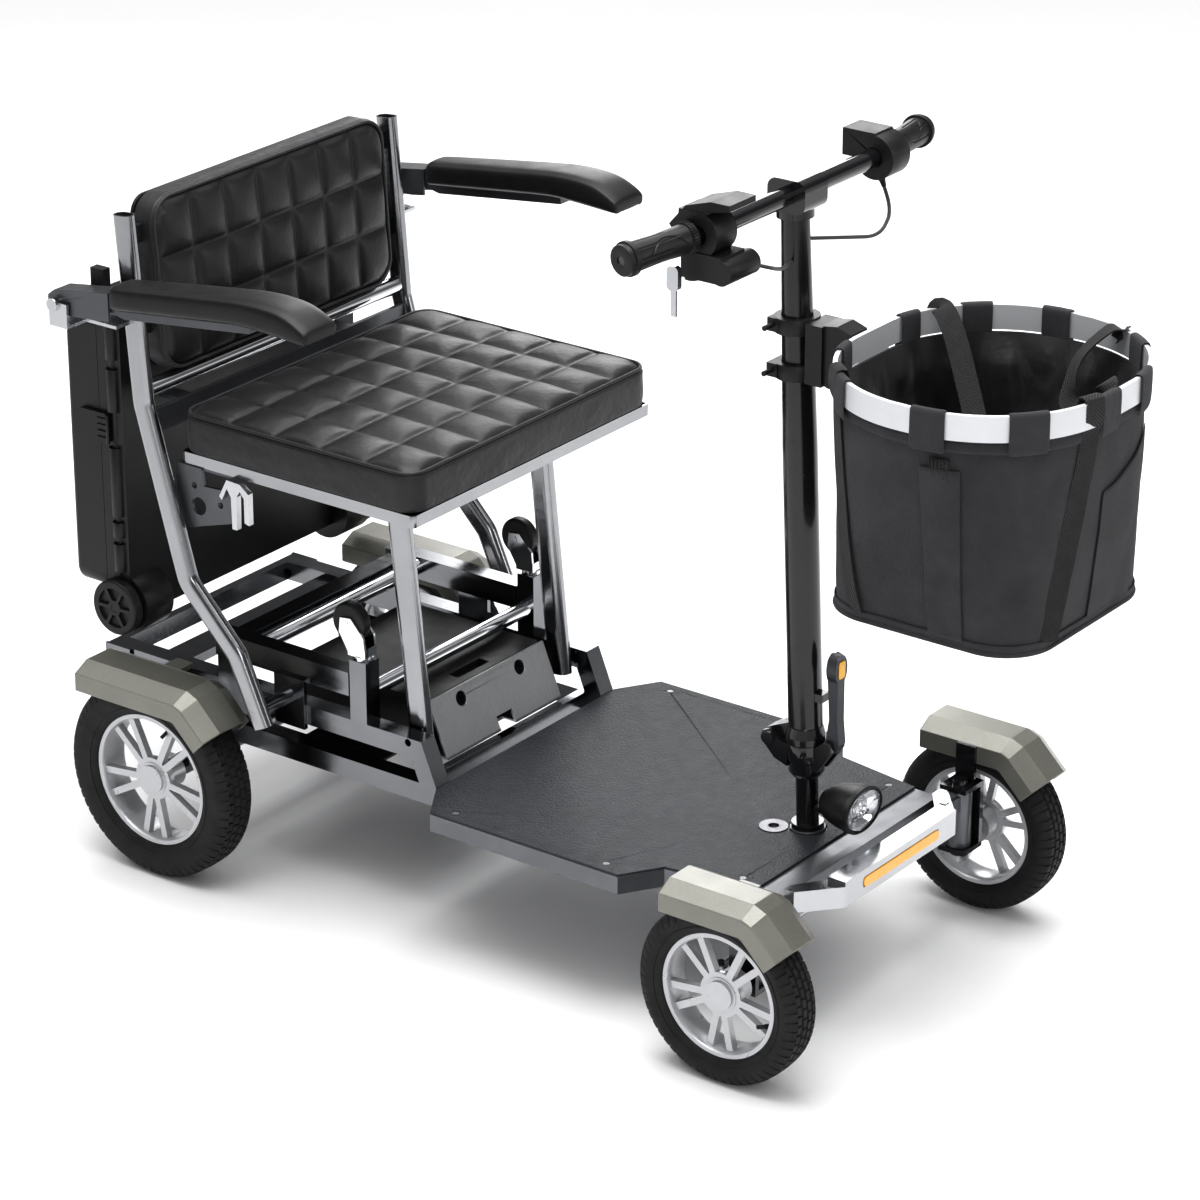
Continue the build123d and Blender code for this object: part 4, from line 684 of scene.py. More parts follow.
# ------------------------------------------------------------------ grips
def grip(name, node, body, s):
    st = Vector((s * 0.160, -0.246, 0.944))
    en = Vector((s * 0.288, -0.220, 0.938))
    d = (en - st).normalized()
    prof = [(0.0302, 0.0114), (0.0340, 0.0114), (0.0340, 0.0170), (0.0345, 0.0182)]
    prof += [(0.0345 + 0.0080 * k / 6, 0.0185) for k in range(1, 6)]
    prof += [(0.0425, 0.0183), (0.0430, 0.0166)]
    n1 = 60
    prof += [(0.0435 + 0.0740 * k / n1, 0.0160 + 0.0005 * math.cos(2 * math.pi * k / n1)) for k in range(n1 + 1)]
    prof += [(0.1180, 0.0162), (0.1184, 0.0188), (0.1192, 0.0195), (0.1240, 0.0195), (0.1248, 0.0188), (0.1250, 0.0176), (0.1262, 0.0174), (0.1310, 0.0172),
             (0.1322, 0.0160), (0.1325, 0.0140), (0.1325, 0.0075), (0.1322, 0.0058), (0.1306, 0.0050), (0.1302, 0.0042), (0.1302, 0.0001)]

    def mod(j, th, x, r):
        if 0.0350 < x < 0.0424:                                   # knurled collar
            return r - (0.0009 if (th * 36 / (2 * math.pi)) % 1.0 < 0.35 else 0.0)
        if 0.0450 < x < 0.1165:
            t = (x - 0.0450) / 0.0715
            out = r
            for k in range(8):
                c0 = 2 * math.pi * k / 8
                # straight flutes over the outer part
                lim = 0.30 + 0.35 * (0.5 + 0.5 * math.sin(c0 * 2))
                dd = (th - c0 + math.pi) % (2 * math.pi) - math.pi
                if t > lim - 0.12 and abs(dd) < 0.085:
                    out = min(out, r - 0.0010 * min(1.0, (t - lim + 0.12) / 0.05) * (1 - (abs(dd) / 0.085) ** 2))
            for k in range(3):                                    # swooping lines
                c0 = 2 * math.pi * k / 3 + 0.5
                cc = c0 + 1.25 * math.sin(math.pi * min(1.0, t * 1.15)) - 0.2
                dd = (th - cc + math.pi) % (2 * math.pi) - math.pi
                if abs(dd) < 0.060 and 0.02 < t < 0.87:
                    out = min(out, r - 0.0012 * (1 - (abs(dd) / 0.060) ** 2))
            return out
        return r

    o = spun(name, st, d, prof, RUBBER, body, n=180, mod=mod)
    fix_normals(o)
    shade_auto(o, 35)
    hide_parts(node)
    return o


grip("grip_moulded_left", "grip_left", "column_upper", 1)
grip("grip_moulded_right", "throttle_grip", "throttle", -1)

# ------------------------------------------------------------------ armrest pads
def arm_pad(side, s):
    # side outline: top and bottom lines (y, z), back to front
    ys = [0.4885, 0.4890, 0.4905, 0.4940, 0.500, 0.520, 0.545, 0.570] if False else None
    top = [(0.4880, 0.7520), (0.4882, 0.7600), (0.4890, 0.7650), (0.4915, 0.7682), (0.4960, 0.7692), (0.470, 0.7716), (0.430, 0.7772), (0.380, 0.7840), (0.330, 0.7905),
           (0.300, 0.7945), (0.282, 0.7962), (0.262, 0.7968), (0.242, 0.7962), (0.226, 0.7940), (0.212, 0.7882), (0.202, 0.7828), (0.1955, 0.7785), (0.1928, 0.7762), (0.1922, 0.7730)]
    bot = [(0.4880, 0.7460), (0.4882, 0.7410), (0.4890, 0.7378), (0.4915, 0.7364), (0.4960, 0.7364), (0.470, 0.7390), (0.430, 0.7442), (0.380, 0.7505), (0.330, 0.7568),
           (0.300, 0.7600), (0.282, 0.7608), (0.262, 0.7600), (0.242, 0.7590), (0.226, 0.7583), (0.212, 0.7581), (0.202, 0.7580), (0.1955, 0.7581), (0.1928, 0.7588), (0.1922, 0.7610)]
    top[4] = (0.484, 0.7698); bot[4] = (0.484, 0.7372)
    hw = [0.0130, 0.0180, 0.0205, 0.0225, 0.0240, 0.0250, 0.0262, 0.0275, 0.0286, 0.0292, 0.0296, 0.0299, 0.0299, 0.0299, 0.0298, 0.0296, 0.0290, 0.0280, 0.0262]
    n = 36
    P = np.zeros((len(top), n, 3))
    for i, ((yt, zt), (yb, zb), w) in enumerate(zip(top, bot, hw)):
        for k in range(n):
            a = 2 * math.pi * k / n
            c, sn = math.cos(a), math.sin(a)
            e = 0.42
            x = math.copysign(abs(c) ** e, c) * w
            f = 0.5 + 0.5 * math.copysign(abs(sn) ** 0.62, sn)
            # crowned top, a lip round the underside
            z = zb + (zt - zb) * f
            y = yb + (yt - yb) * f
            if f < 0.12:
                x *= 0.93
                if abs(x) < w * 0.72:
                    z += 0.0022
            if f > 0.9:
                z -= 0.0012 * (x / w) ** 2
            P[i, k] = (s * 0.290 + x, y, z)
    o = grid_piece(f"arm_pad_moulded_{side}", P, RUBBER, None, closed_v=True)
    bm = bmesh.new()
    bm.from_mesh(o.data)
    bm.verts.ensure_lookup_table()
    ends = [(base, [bm.verts[base + k] for k in range(n)]) for base in (0, (len(top) - 1) * n)]
    for base, ringv in ends:
        c = bm.verts.new(sum((v.co for v in ringv), Vector()) / n + Vector((0, 0.0004 if base == 0 else -0.0004, 0)))
        for k in range(n):
            f = bm.faces.new((ringv[k], ringv[(k + 1) % n], c))
            f.smooth = True
    bmesh.ops.recalc_face_normals(bm, faces=bm.faces)
    bm.to_mesh(o.data)
    bm.free()
    sub = o.modifiers.new("sub", "SUBSURF")
    sub.levels = sub.render_levels = 1
    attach(o, f"armrest_{side}")
    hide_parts(f"arm_pad_{side}")
    return o


for side, s in (("left", 1), ("right", -1)):
    arm_pad(side, s)

# ------------------------------------------------------------------ basket
BY, ZB, ZT = -0.502, 0.530, 0.776
def bag_ring(t, z, grow=0.0, inner=False):
    """point of the bag's outline at height z"""
    f = max(0.0, min(1.0, (z - ZB) / (ZT - ZB)))
    hx = 0.138 + (0.1727 - 0.138) * f + grow
    hy = 0.131 + (0.1517 - 0.131) * f + grow
    r = 0.060 + (0.1447 - 0.060) * f
    return rr_point(hx, hy, max(0.01, r + grow), t)


def crease(t, z):
    """how far the cloth hangs in or out, in metres"""
    v = 0.0016 * noise.noise(Vector((math.cos(2 * math.pi * t) * 2.2, math.sin(2 * math.pi * t) * 2.2, z * 9)))
    v += 0.0007 * noise.noise(Vector((math.cos(2 * math.pi * t) * 7, math.sin(2 * math.pi * t) * 7, z * 24)))
    f = (z - ZB) / (ZT - ZB)
    for t0, k, amp in ((0.52, 0.30, 0.0022), (0.63, -0.22, 0.0024), (0.80, 0.18, 0.0016), (0.14, 0.25, 0.002), (0.33, -0.25, 0.002)):
        d = (t - t0 - k * (f - 0.1) * 0.35 + 0.5) % 1.0 - 0.5
        v -= amp * math.exp(-(d / 0.010) ** 2) * max(0.0, 1 - abs(f - 0.30) / 0.42)
    # full between the bottom seam and the rim, drawn in under the rim
    v += 0.0020 * math.sin(math.pi * max(0, min(1, f))) ** 0.8
    return v


NT, NZ = 220, 44
out_rows = []
for j in range(NZ + 1):
    z = ZB + 0.001 + (ZT + 0.0005 - ZB - 0.001) * j / NZ
    row = []
    for i in range(NT):
        t = i / NT
        x, y = bag_ring(t, z, 0.0)
        l = math.hypot(x, y)
        w = crease(t, z) - 0.0012
        row.append((x * (1 + w / l), BY + y * (1 + w / l), z))
    out_rows.append(row)
P = np.array(out_rows).transpose(1, 0, 2)
bag = grid_piece("basket_bag_cloth", P, FABRIC, None, closed_u=True)
# lining, slacker and more wrinkled than the outside
in_rows = []
NZI = 46
for j in range(NZI + 1):
    z = ZT + 0.0005 - (ZT - ZB - 0.004) * j / NZI
    row = []
    f = j / NZI
    for i in range(NT):
        t = i / NT
        x, y = bag_ring(t, z, -0.0022)
        l = math.hypot(x, y)
        a = 2 * math.pi * t
        wr = 0.006 * noise.noise(Vector((math.cos(a) * 3.6, math.sin(a) * 3.6, z * 10 + 5)))
        wr += 0.0035 * noise.noise(Vector((math.cos(a) * 8 + z * 9, math.sin(a) * 8 - z * 7, z * 13)))
        wr += 0.003 * abs(noise.noise(Vector((math.cos(a) * 5 - z * 6, math.sin(a) * 5 + z * 12, 9.0))))
        fade = min(1.0, f * 7) * min(1.0, (1 - f) * 9)
        w = (-0.0022 - abs(wr) * 1.5 - 0.0015 * 1) * fade - 0.0012
        row.append((x * (1 + w / l), BY + y * (1 + w / l), z))
    in_rows.append(row)
# the floor of the lining
for q in (0.94, 0.86, 0.7, 0.5, 0.3, 0.12):
    row = []
    for i in range(NT):
        x, y = bag_ring(i / NT, ZB + 0.004, -0.004)
        row.append((x * q, BY + y * q, ZB + 0.0042 + 0.0012 * noise.noise(Vector((x * q * 20, y * q * 20, 1.0)))))
    in_rows.append(row)
P2 = np.array(in_rows).transpose(1, 0, 2)
lin = grid_piece("basket_lining_cloth", P2, LINING, None, closed_u=True)
bm = bmesh.new()
bm.from_mesh(lin.data)
bm.verts.ensure_lookup_table()
nv = P2.shape[1]
c = bm.verts.new((0, BY, ZB + 0.0042))
bm.verts.ensure_lookup_table()
for i in range(NT):
    f = bm.faces.new((bm.verts[i * nv + nv - 1], bm.verts[((i + 1) % NT) * nv + nv - 1], c))
    f.smooth = True
    f.material_index = 0
bm.to_mesh(lin.data)
bm.free()
# the outside bottom panel
bot_rows = []
for q in (1.0, 0.985, 0.9, 0.75, 0.55, 0.3, 0.1):
    row = []
    for i in range(NT):
        x, y = bag_ring(i / NT, ZB, -0.0012)
        row.append((x * q, BY + y * q, ZB + 0.001 - (0.0006 if q < 0.99 else 0) + 0.0003 * noise.noise(Vector((x * q * 30, y * q * 30, 4.0)))))
    bot_rows.append(row)
P3 = np.array(bot_rows).transpose(1, 0, 2)
bo = grid_piece("basket_bottom_cloth", P3, FABRIC, None, closed_u=True)
bm = bmesh.new()
bm.from_mesh(bo.data)
bm.verts.ensure_lookup_table()
nv = P3.shape[1]
c = bm.verts.new((0, BY, ZB + 0.0004))
bm.verts.ensure_lookup_table()
for i in range(NT):
    f = bm.faces.new((bm.verts[i * nv + nv - 1], bm.verts[((i + 1) % NT) * nv + nv - 1], c))
    f.smooth = True
bm.to_mesh(bo.data)
bm.free()
for o in (bag, lin, bo):
    fix_normals(o)
bsol = bag.modifiers.new("thick", "SOLIDIFY")
bsol.thickness = 0.0009
bsol.offset = -1
for o in (bag, lin, bo):
    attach(o, "basket")
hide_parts("basket_bag")


def ring_cloth(name, z0, z1, out, thick, material, t0=0.0, t1=1.0, n=None, lift=None, body="basket"):
    """a strip of cloth lying on the bag between two heights"""
    n = n or max(8, int(NT * abs(t1 - t0) * 1.4))
    rows = []
    m = max(3, int(abs(z1 - z0) / 0.006))
    full = abs(t1 - t0) >= 0.999
    for i in range(n if full else n + 1):
        t = t0 + (t1 - t0) * i / n
        row = []
        for j in range(m + 1):
            z = z0 + (z1 - z0) * j / m
            x, y = bag_ring(t, z, 0.0)
            l = math.hypot(x, y)
            w = crease(t, z) + out + (lift(t, z) if lift else 0.0)
            row.append((x * (1 + w / l), BY + y * (1 + w / l), z))
        rows.append(row)
    o = grid_piece(name, np.array(rows), material, None, closed_u=full)
    fix_normals(o)
    sm = o.modifiers.new("thick", "SOLIDIFY")
    sm.thickness = thick
    sm.offset = 0
    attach(o, body)
    return o


def arc_t(deg, z):
    """t whose point lies at that angle round the basket"""
    best, bt = 9, 0
    for k in range(1440):
        x, y = bag_ring(k / 1440, z)
        d = abs((math.degrees(math.atan2(y, x)) - deg + 180) % 360 - 180)
        if d < best:
            best, bt = d, k / 1440
    return bt


# bottom piping and a binding strip above it
pts = []
for i in range(200):
    x, y = bag_ring(i / 200, ZB, 0.0)
    l = math.hypot(x, y)
    pts.append((x * (1 + 0.0012 / l), BY + y * (1 + 0.0012 / l), ZB + 0.0022))
pp = tube("basket_bottom_piping", pts, 0.0026, FABRIC, "basket", closed=True, n=10)
ring_cloth("basket_bottom_binding", ZB + 0.0045, ZB + 0.013, 0.0006, 0.0011, FABRIC)
ring_cloth("basket_top_hem", ZT - 0.013, ZT + 0.0003, -0.0002, 0.0014, FABRIC)
# front document pocket with its elastic tab
tp0, tp1 = arc_t(186.0, 0.70), arc_t(201.5, 0.70)
ring_cloth("basket_front_pocket", ZB + 0.010, 0.742, 0.0012, 0.0012, FABRIC, tp0, tp1, n=34, lift=lambda t, z: 0.0016 * math.sin(math.pi * (t - tp0) / (tp1 - tp0)) * max(0, (z - ZB) / 0.25))
ring_cloth("basket_pocket_elastic", 0.730, 0.7545, 0.0016, 0.0012, WEB, arc_t(190.0, 0.74), arc_t(197.2, 0.74), n=40,
           lift=lambda t, z: 0.0010 * math.sin(t * 2 * math.pi * 260))
# side pocket with a curved mouth
ts0, ts1 = arc_t(267.0, 0.65), arc_t(300.0, 0.65)
rows = []
for i in range(41):
    t = ts0 + (ts1 - ts0) * i / 40
    row = []
    zt = 0.690 + 0.050 * (i / 40) ** 1.6
    for j in range(25):
        z = ZB + 0.010 + (zt - ZB - 0.010) * j / 24
        x, y = bag_ring(t, z)
        l = math.hypot(x, y)
        w = crease(t, z) + 0.0008 + 0.0010 * math.sin(math.pi * i / 40) * j / 24
        row.append((x * (1 + w / l), BY + y * (1 + w / l), z))
    rows.append(row)
sp = grid_piece("basket_side_pocket", np.array(rows), FABRIC, None)
fix_normals(sp)
sm = sp.modifiers.new("thick", "SOLIDIFY")
sm.thickness, sm.offset = 0.0011, 0
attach(sp, "basket")


def strap_line(name, pts, nrm, width, thick, material, taper=None):
    """a flat strap through points with its face along nrm at each point"""
    P = []
    N = len(pts)
    prof = [(-1, -1), (-0.92, -1), (-0.5, -1), (0, -1), (0.5, -1), (0.92, -1), (1, -1), (1, 1), (0.92, 1), (0.5, 1), (0, 1), (-0.5, 1), (-0.92, 1), (-1, 1)]
    for i in range(N):
        p = Vector(pts[i])
        t = (Vector(pts[min(N - 1, i + 1)]) - Vector(pts[max(0, i - 1)])).normalized()
        nn = Vector(nrm[i])
        nn = (nn - t * nn.dot(t)).normalized()
        s2 = t.cross(nn)
        P.append([list(p + s2 * (a * width / 2) + nn * (b * thick / 2)) for a, b in prof])
    o = grid_piece(name, np.array(P), material, None, closed_v=True)
    bm = bmesh.new()
    bm.from_mesh(o.data)
    bm.verts.ensure_lookup_table()
    k = len(prof)
    bm.faces.new([bm.verts[q] for q in range(k)])
    bm.faces.new([bm.verts[(N - 1) * k + q] for q in range(k)])
    bmesh.ops.recalc_face_normals(bm, faces=bm.faces)
    bm.to_mesh(o.data)
    bm.free()
    shade_auto(o, 40)
    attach(o, "basket")
    return o


def smooth_path(ctrl, n):
    """Catmull-Rom through control points"""
    c = [Vector(p) for p in ctrl]
    c = [2 * c[0] - c[1]] + c + [2 * c[-1] - c[-2]]
    out = []
    seg = len(c) - 3
    for i in range(n):
        u = i / (n - 1) * seg
        k = min(seg - 1, int(u))
        f = u - k
        p0, p1, p2, p3 = c[k:k + 4]
        out.append(0.5 * ((2 * p1) + (p2 - p0) * f + (2 * p0 - 5 * p1 + 4 * p2 - p3) * f * f + (3 * p1 - 3 * p2 + p3 - p0) * f ** 3))
    return out


RB, RT = 0.778, 0.807
def rim_loop(name, deg, width, material=None, down_out=0.762, down_in=0.764):
    """a cloth loop that wraps over the rim"""
    material = material or FABRIC
    a = math.radians(deg)
    # outer rim point and its outward direction
    def rim_at(dg):
        best, bp = 9, None
        for k in range(1440):
            x, y = rr_point(0.178, 0.157, 0.150, k / 1440)
            d = abs((math.degrees(math.atan2(y, x)) - dg + 180) % 360 - 180)
            if d < best:
                best, bp, bk = d, (x, y), k
        x2, y2 = rr_point(0.178, 0.157, 0.150, (bk + 2) / 1440)
        t = Vector((x2 - bp[0], y2 - bp[1], 0)).normalized()
        return Vector((bp[0], BY + bp[1], 0)), t, Vector((t.y, -t.x, 0))
    c0, t0, n0 = rim_at(deg)
    sec = [(-0.0005, down_out, 0), (0.0016, down_out + 0.006, 0), (0.0024, RB - 0.002, 0), (0.0026, RB + 0.006, 0), (0.0026, RT - 0.004, 0), (0.0018, RT + 0.0008, 0),
           (-0.0004, RT + 0.0022, 0), (-0.0046, RT + 0.0022, 0), (-0.0068, RT + 0.0008, 0), (-0.0076, RT - 0.004, 0), (-0.0076, RB + 0.004, 0), (-0.0078, RB - 0.004, 0), (-0.0072, down_in, 0)]
    nw = 9
    P = []
    for q in range(nw):
        f = (q / (nw - 1) - 0.5) * width
        dg = deg + math.degrees(f / math.hypot(c0.x, c0.y - BY))
        c, t, nn = rim_at(dg)
        row = []
        for k, (o_, z, _) in enumerate(sec):
            o2 = o_ + 0.0003 * math.sin(f * 900 + k)
            row.append(list(c + nn * o2 + Vector((0, 0, z))))
        P.append(row)
    o = grid_piece(name, np.array(P), material, None)
    fix_normals(o)
    sm = o.modifiers.new("thick", "SOLIDIFY")
    sm.thickness, sm.offset = 0.0014, 0
    sb = o.modifiers.new("sub", "SUBSURF")
    sb.levels = sb.render_levels = 1
    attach(o, "basket")
    return o


for k, (deg, wd) in enumerate(((189.5, 0.040), (224.5, 0.044), (263.0, 0.036), (291.0, 0.034), (326.0, 0.036), (8.0, 0.036), (38.0, 0.036), (67.0, 0.030), (113.0, 0.030), (146.0, 0.034))):
    rim_loop(f"basket_rim_loop_{k}", deg, wd)

# carrying straps: up the outside, over the rim, hanging inside
def on_bag(deg, z, out):
    t = arc_t(deg, max(ZB, min(ZT, z)))
    x, y = bag_ring(t, max(ZB, min(ZT, z)))
    l = math.hypot(x, y)
    k = 1 + (crease(t, z) + out) / l if z < ZT else 1 + out / l
    return Vector((x * k, BY + y * k, z)), Vector((x, y, 0)).normalized()


def outer_strap(name, deg0, deg1):
    pts, nr = [], []
    for q in range(30):
        f = q / 29
        z = ZB + 0.012 + (0.772 - ZB - 0.012) * f
        p, n0 = on_bag(deg0 + (deg1 - deg0) * f, z, 0.0016)
        pts.append(p)
        nr.append(n0)
    c, n0 = pts[-1], nr[-1]
    for o_, z in ((0.0046, 0.780), (0.0066, 0.790), (0.0068, 0.802), (0.0052, 0.8105), (0.0000, 0.8122), (-0.0060, 0.8110)):
        pts.append(Vector((c.x, c.y, 0)) + n0 * (o_ - 0.001) + Vector((0, 0, z)))
        nr.append(n0 if z < 0.806 else (n0 * 0.4 + Vector((0, 0, 1))))
    return pts, nr


for k, (d0, d1, inside) in enumerate(((236.0, 252.0, None), (152.0, 140.0, None))):
    pts, nr = outer_strap(f"s{k}", d0, d1)
    c, n0 = pts[29], nr[29]
    pts += [Vector((c.x, c.y, 0)) + n0 * -0.0092 + Vector((0, 0, 0.800)), Vector((c.x, c.y, 0)) + n0 * -0.0096 + Vector((0, 0, 0.788))]
    nr += [n0 * -1, n0 * -1]
    # a Bezier-like run keeps the face turning smoothly
    strap_line(f"basket_outer_strap_{k}", pts, nr, 0.025, 0.0016, WEB)
# the hanging handle on the far side falls into the bag
pa = [(0.100, BY + 0.136, 0.788), (0.099, BY + 0.132, 0.806), (0.094, BY + 0.122, 0.8085), (0.080, BY + 0.098, 0.786), (0.052, BY + 0.060, 0.737), (0.020, BY + 0.022, 0.690), (-0.002, BY - 0.010, 0.652), (-0.008, BY - 0.040, 0.632)]
pts = smooth_path(pa, 48)
strap_line("basket_handle_inside", pts, [Vector((-0.5, -0.55, 0.75))] * 48, 0.026, 0.0017, WEB)
pb = [(-0.008, BY - 0.145, 0.786), (-0.004, BY - 0.143, 0.8045), (0.004, BY - 0.136, 0.8085), (0.022, BY - 0.120, 0.790), (0.058, BY - 0.092, 0.752), (0.092, BY - 0.060, 0.728), (0.112, BY - 0.030, 0.735), (0.128, BY - 0.030, 0.775), (0.148, BY - 0.052, 0.806), (0.158, BY - 0.062, 0.8085), (0.163, BY - 0.066, 0.797)]
pts = smooth_path(pb, 64)
strap_line("basket_handle_front", pts, [Vector((-0.3, 0.35, 0.9))] * 64, 0.024, 0.0017, WEB)

# ------------------------------------------------------------------ cables
def cable(name, ctrl, length, exit_pt):
    cu = bpy.data.curves.new(name, "CURVE")
    cu.dimensions = "3D"
    sp = cu.splines.new("POLY")
    sp.points.add(len(ctrl) - 1)
    for q, p in zip(sp.points, ctrl):
        q.co = (*p, 1)
    cu.bevel_depth = 0.0022
    cu.bevel_resolution = 4
    cu.use_fill_caps = True
    cu.materials.append(CABLE)
    o = bpy.data.objects.new(name, cu)
    S.collection.objects.link(o)
    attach(o, "column_upper")
    return o

def filleted(ctrl, k=0.45, n=12):
    """straight runs joined by arcs"""
    v = [Vector(p) / 1000 for p in ctrl]
    out = [v[0]]
    for i in range(1, len(v) - 1):
        a, b = v[i] - v[i - 1], v[i + 1] - v[i]
        la, lb = a.length, b.length
        a.normalize()
        b.normalize()
        turn = a.angle(b)
        tl = k * min(la, lb)
        r = tl / math.tan(turn / 2)
        p0 = v[i] - a * tl
        nrm = (b - a * a.dot(b)).normalized()
        c = p0 + nrm * r
        for q in range(n + 1):
            th = turn * q / n
            out.append(c - nrm * (r * math.cos(th)) + a * (r * math.sin(th)))
    out.append(v[-1])
    return out


for tag, ctrl, length in (("right", [(-132.6, -277, 904), (-108, -284, 894), (-62, -270, 876), (-12, -248.5, 868)], 0.1330),
                          ("left", [(168, -246, 916), (166, -262, 880), (120, -276, 866), (12, -251, 888)], 0.1967)):
    pts = filleted(ctrl)
    cb = cable(f"control_cable_{tag}", pts, length, pts[0])
    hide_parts("control_cables")
    # a sleeve where the cable leaves the housing
    d0 = (pts[1] - pts[0]).normalized()
    spun(f"cable_sleeve_{tag}", pts[0] - d0 * 0.002, d0, [(0, 0.0001), (0, 0.0042), (0.004, 0.0042), (0.0048, 0.0036), (0.012, 0.0027), (0.012, 0.0023)], RUBBER, "column_upper", n=20)
# ------------------------------------------------------------------ headlight
HL = Vector((0, -0.352, 0.226))
def ell(y, rx, rz, n=64):
    return [(HL.x + rx * math.cos(2 * math.pi * q / n), y, HL.z + rz * math.sin(2 * math.pi * q / n)) for q in range(n)]


def ell_rings(name, rings, material, flip=False):
    P = np.array([ell(y, rx, rz) for y, rx, rz in rings]).transpose(1, 0, 2)
    o = grid_piece(name, P, material, "column_foot", closed_u=True)
    fix_normals(o)
    shade_auto(o, 35)
    return o


R_ = lambda rows: [(y, rx / 1000, rz / 1000) for y, rx, rz in rows]
ell_rings("headlight_bezel", R_([(-0.3460, 38.6, 27.6), (-0.3525, 38.4, 27.4), (-0.3537, 37.4, 26.4), (-0.3537, 35.6, 24.6), (-0.3515, 34.8, 23.8)]), PLAS)
ell_rings("headlight_reflector", R_([(-0.3508, 34.6, 23.6), (-0.3486, 30, 20.6), (-0.3458, 23, 17), (-0.3440, 16, 14.5), (-0.3434, 12.5, 12.5), (-0.3434, 10.8, 10.8), (-0.3496, 10.2, 10.2),
                                     (-0.3502, 9.2, 9.2), (-0.3480, 7.8, 7.8), (-0.3466, 5.2, 5.2), (-0.3484, 3.4, 3.4), (-0.3488, 0.2, 0.2)]), CHROME)
for k, r_ in enumerate((11.6, 15.6)):
    ell_rings(f"headlight_ring_{k}", R_([(-0.3470 + 0.0016 * k, r_ + 0.9, r_ + 0.9 - k), (-0.3482 + 0.0016 * k, r_ + 0.6, r_ + 0.6 - k), (-0.3482 + 0.0016 * k, r_ - 0.2, r_ - 0.2 - k), (-0.3470 + 0.0016 * k, r_ - 0.6, r_ - 0.6 - k)]), SILVER)
ln = ell_rings("headlight_lens_shell", R_([(-0.3516, 34.7, 23.7), (-0.3530, 32.0, 21.6), (-0.3545, 25.0, 16.6), (-0.3554, 15.0, 10.0), (-0.3558, 6.0, 4.0), (-0.3559, 0.2, 0.2)]), GLASS)
sm = ln.modifiers.new("thick", "SOLIDIFY")
sm.thickness, sm.offset = 0.0007, 1
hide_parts("headlight_lens")

# ------------------------------------------------------------------ blank amber label on the fold lever
lz = 0.392
P = np.zeros((9, 13, 3))
for i in range(9):
    for j in range(13):
        a, b2 = (i / 8 - 0.5) * 2, (j / 12 - 0.5) * 2
        w_ = 0.0066 * (1 - 0.22 * max(0, abs(b2) - 0.7) / 0.3)
        P[i, j] = (a * w_, -0.3186 - 0.0002 * (1 - a * a), lz + b2 * 0.0105)
lab = grid_piece("fold_lever_label", P, LABEL, "fold_lever")
sm = lab.modifiers.new("thick", "SOLIDIFY")
sm.thickness, sm.offset = 0.0005, 0

# ------------------------------------------------------------------ room, light, camera
def area(name, loc, target, size, power, colour=(1, 1, 1), size_y=None):
    l = bpy.data.lights.new(name, "AREA")
    l.energy = power
    l.color = colour
    l.size = size
    if size_y:
        l.shape = "RECTANGLE"
        l.size_y = size_y
    o = bpy.data.objects.new(name, l)
    S.collection.objects.link(o)
    o.location = loc
    o.rotation_mode = "QUATERNION"
    o.rotation_quaternion = (Vector(target) - Vector(loc)).to_track_quat("-Z", "Y")
    return o


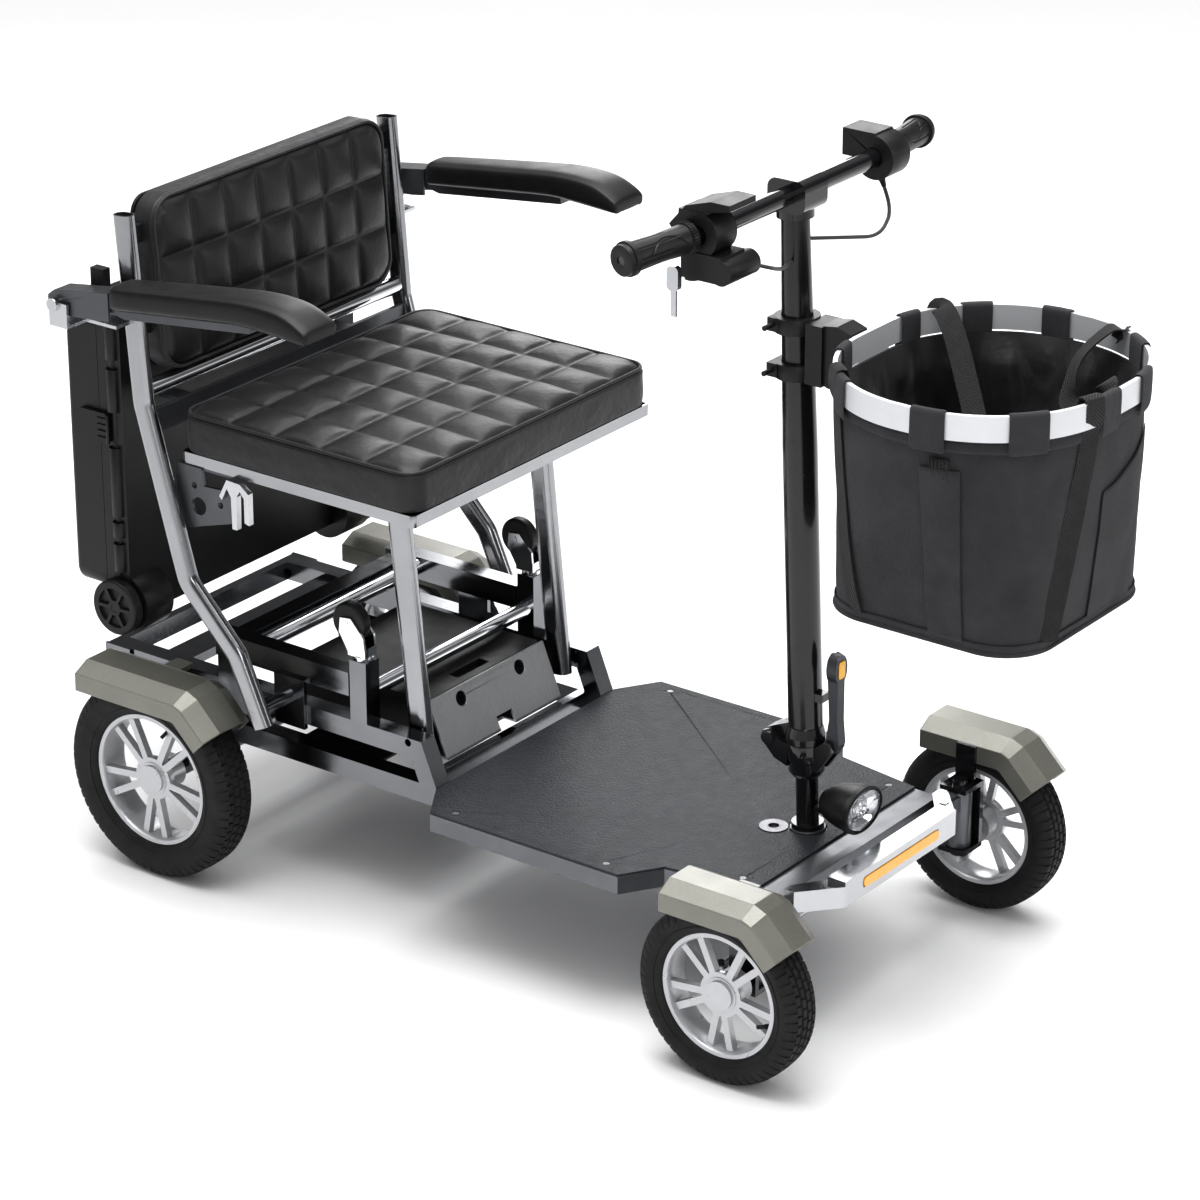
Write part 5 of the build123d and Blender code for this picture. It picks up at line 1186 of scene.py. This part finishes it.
area("top_box", (-0.2, -0.1, 3.0), (0, 0, 0.3), 2.0, 52)
area("sky_box", (0.3, 0.3, 6.5), (0, 0, 0), 8.0, 300)
area("left_strip", (-2.6, -1.9, 1.7), (0, 0, 0.5), 0.7, 16, size_y=1.8)
area("back_strip", (2.4, 1.6, 1.9), (0, 0, 0.5), 1.0, 26, size_y=1.8)
area("front_strip", (1.3, -3.2, 1.6), (0, 0, 0.5), 0.7, 14, size_y=1.6)

w = bpy.data.worlds.new("studio")
S.world = w
w.use_nodes = True
nt = w.node_tree
bg = nt.nodes["Background"]
tc = nt.nodes.new("ShaderNodeTexCoord")
sx = nt.nodes.new("ShaderNodeSeparateXYZ")
nt.links.new(tc.outputs["Generated"], sx.inputs[0])
mr = nt.nodes.new("ShaderNodeMapRange")
mr.inputs["From Min"].default_value = -1
mr.inputs["From Max"].default_value = 1
nt.links.new(sx.outputs[2], mr.inputs["Value"])
rp = nt.nodes.new("ShaderNodeValToRGB")
els = rp.color_ramp.elements
els[0].position, els[0].color = 0.0, (0.5, 0.5, 0.5, 1)
els[1].position, els[1].color = 1.0, (0.95, 0.95, 0.95, 1)
for p, v in ((0.50, 0.7), (0.55, 0.42), (0.61, 0.10), (0.74, 0.12), (0.84, 0.55)):
    e = els.new(p)
    e.color = (v, v, v * 1.01, 1)
nt.links.new(mr.outputs["Result"], rp.inputs["Fac"])
nt.links.new(rp.outputs["Color"], bg.inputs["Color"])
bg.inputs["Strength"].default_value = 1.0

bm = bmesh.new()
bmesh.ops.create_grid(bm, x_segments=8, y_segments=8, size=14)
me = bpy.data.meshes.new("floor")
bm.to_mesh(me)
bm.free()
floor = bpy.data.objects.new("floor", me)
S.collection.objects.link(floor)
floor.location = (0, 0, -0.0005)
me.materials.append(mat("pale_floor", (0.86, 0.86, 0.865), rough=0.75, var=0.01, vscale=1.5, rvar=0.05, spec=0.2))

S.view_settings.view_transform = "Standard"
S.view_settings.look = "Medium High Contrast"
S.view_settings.exposure = 0.0
cam = bpy.data.cameras.new("camera")
cam.lens = 132.45
cam.sensor_width = 36
cam.sensor_fit = "HORIZONTAL"
cam.clip_start, cam.clip_end = 0.1, 60
co = bpy.data.objects.new("camera", cam)
S.collection.objects.link(co)
co.location = (-3.8143, -2.8080, 2.4362)
co.rotation_mode = "QUATERNION"
co.rotation_quaternion = Vector((0.7376, 0.5472, -0.3955)).to_track_quat("-Z", "Y")
S.camera = co
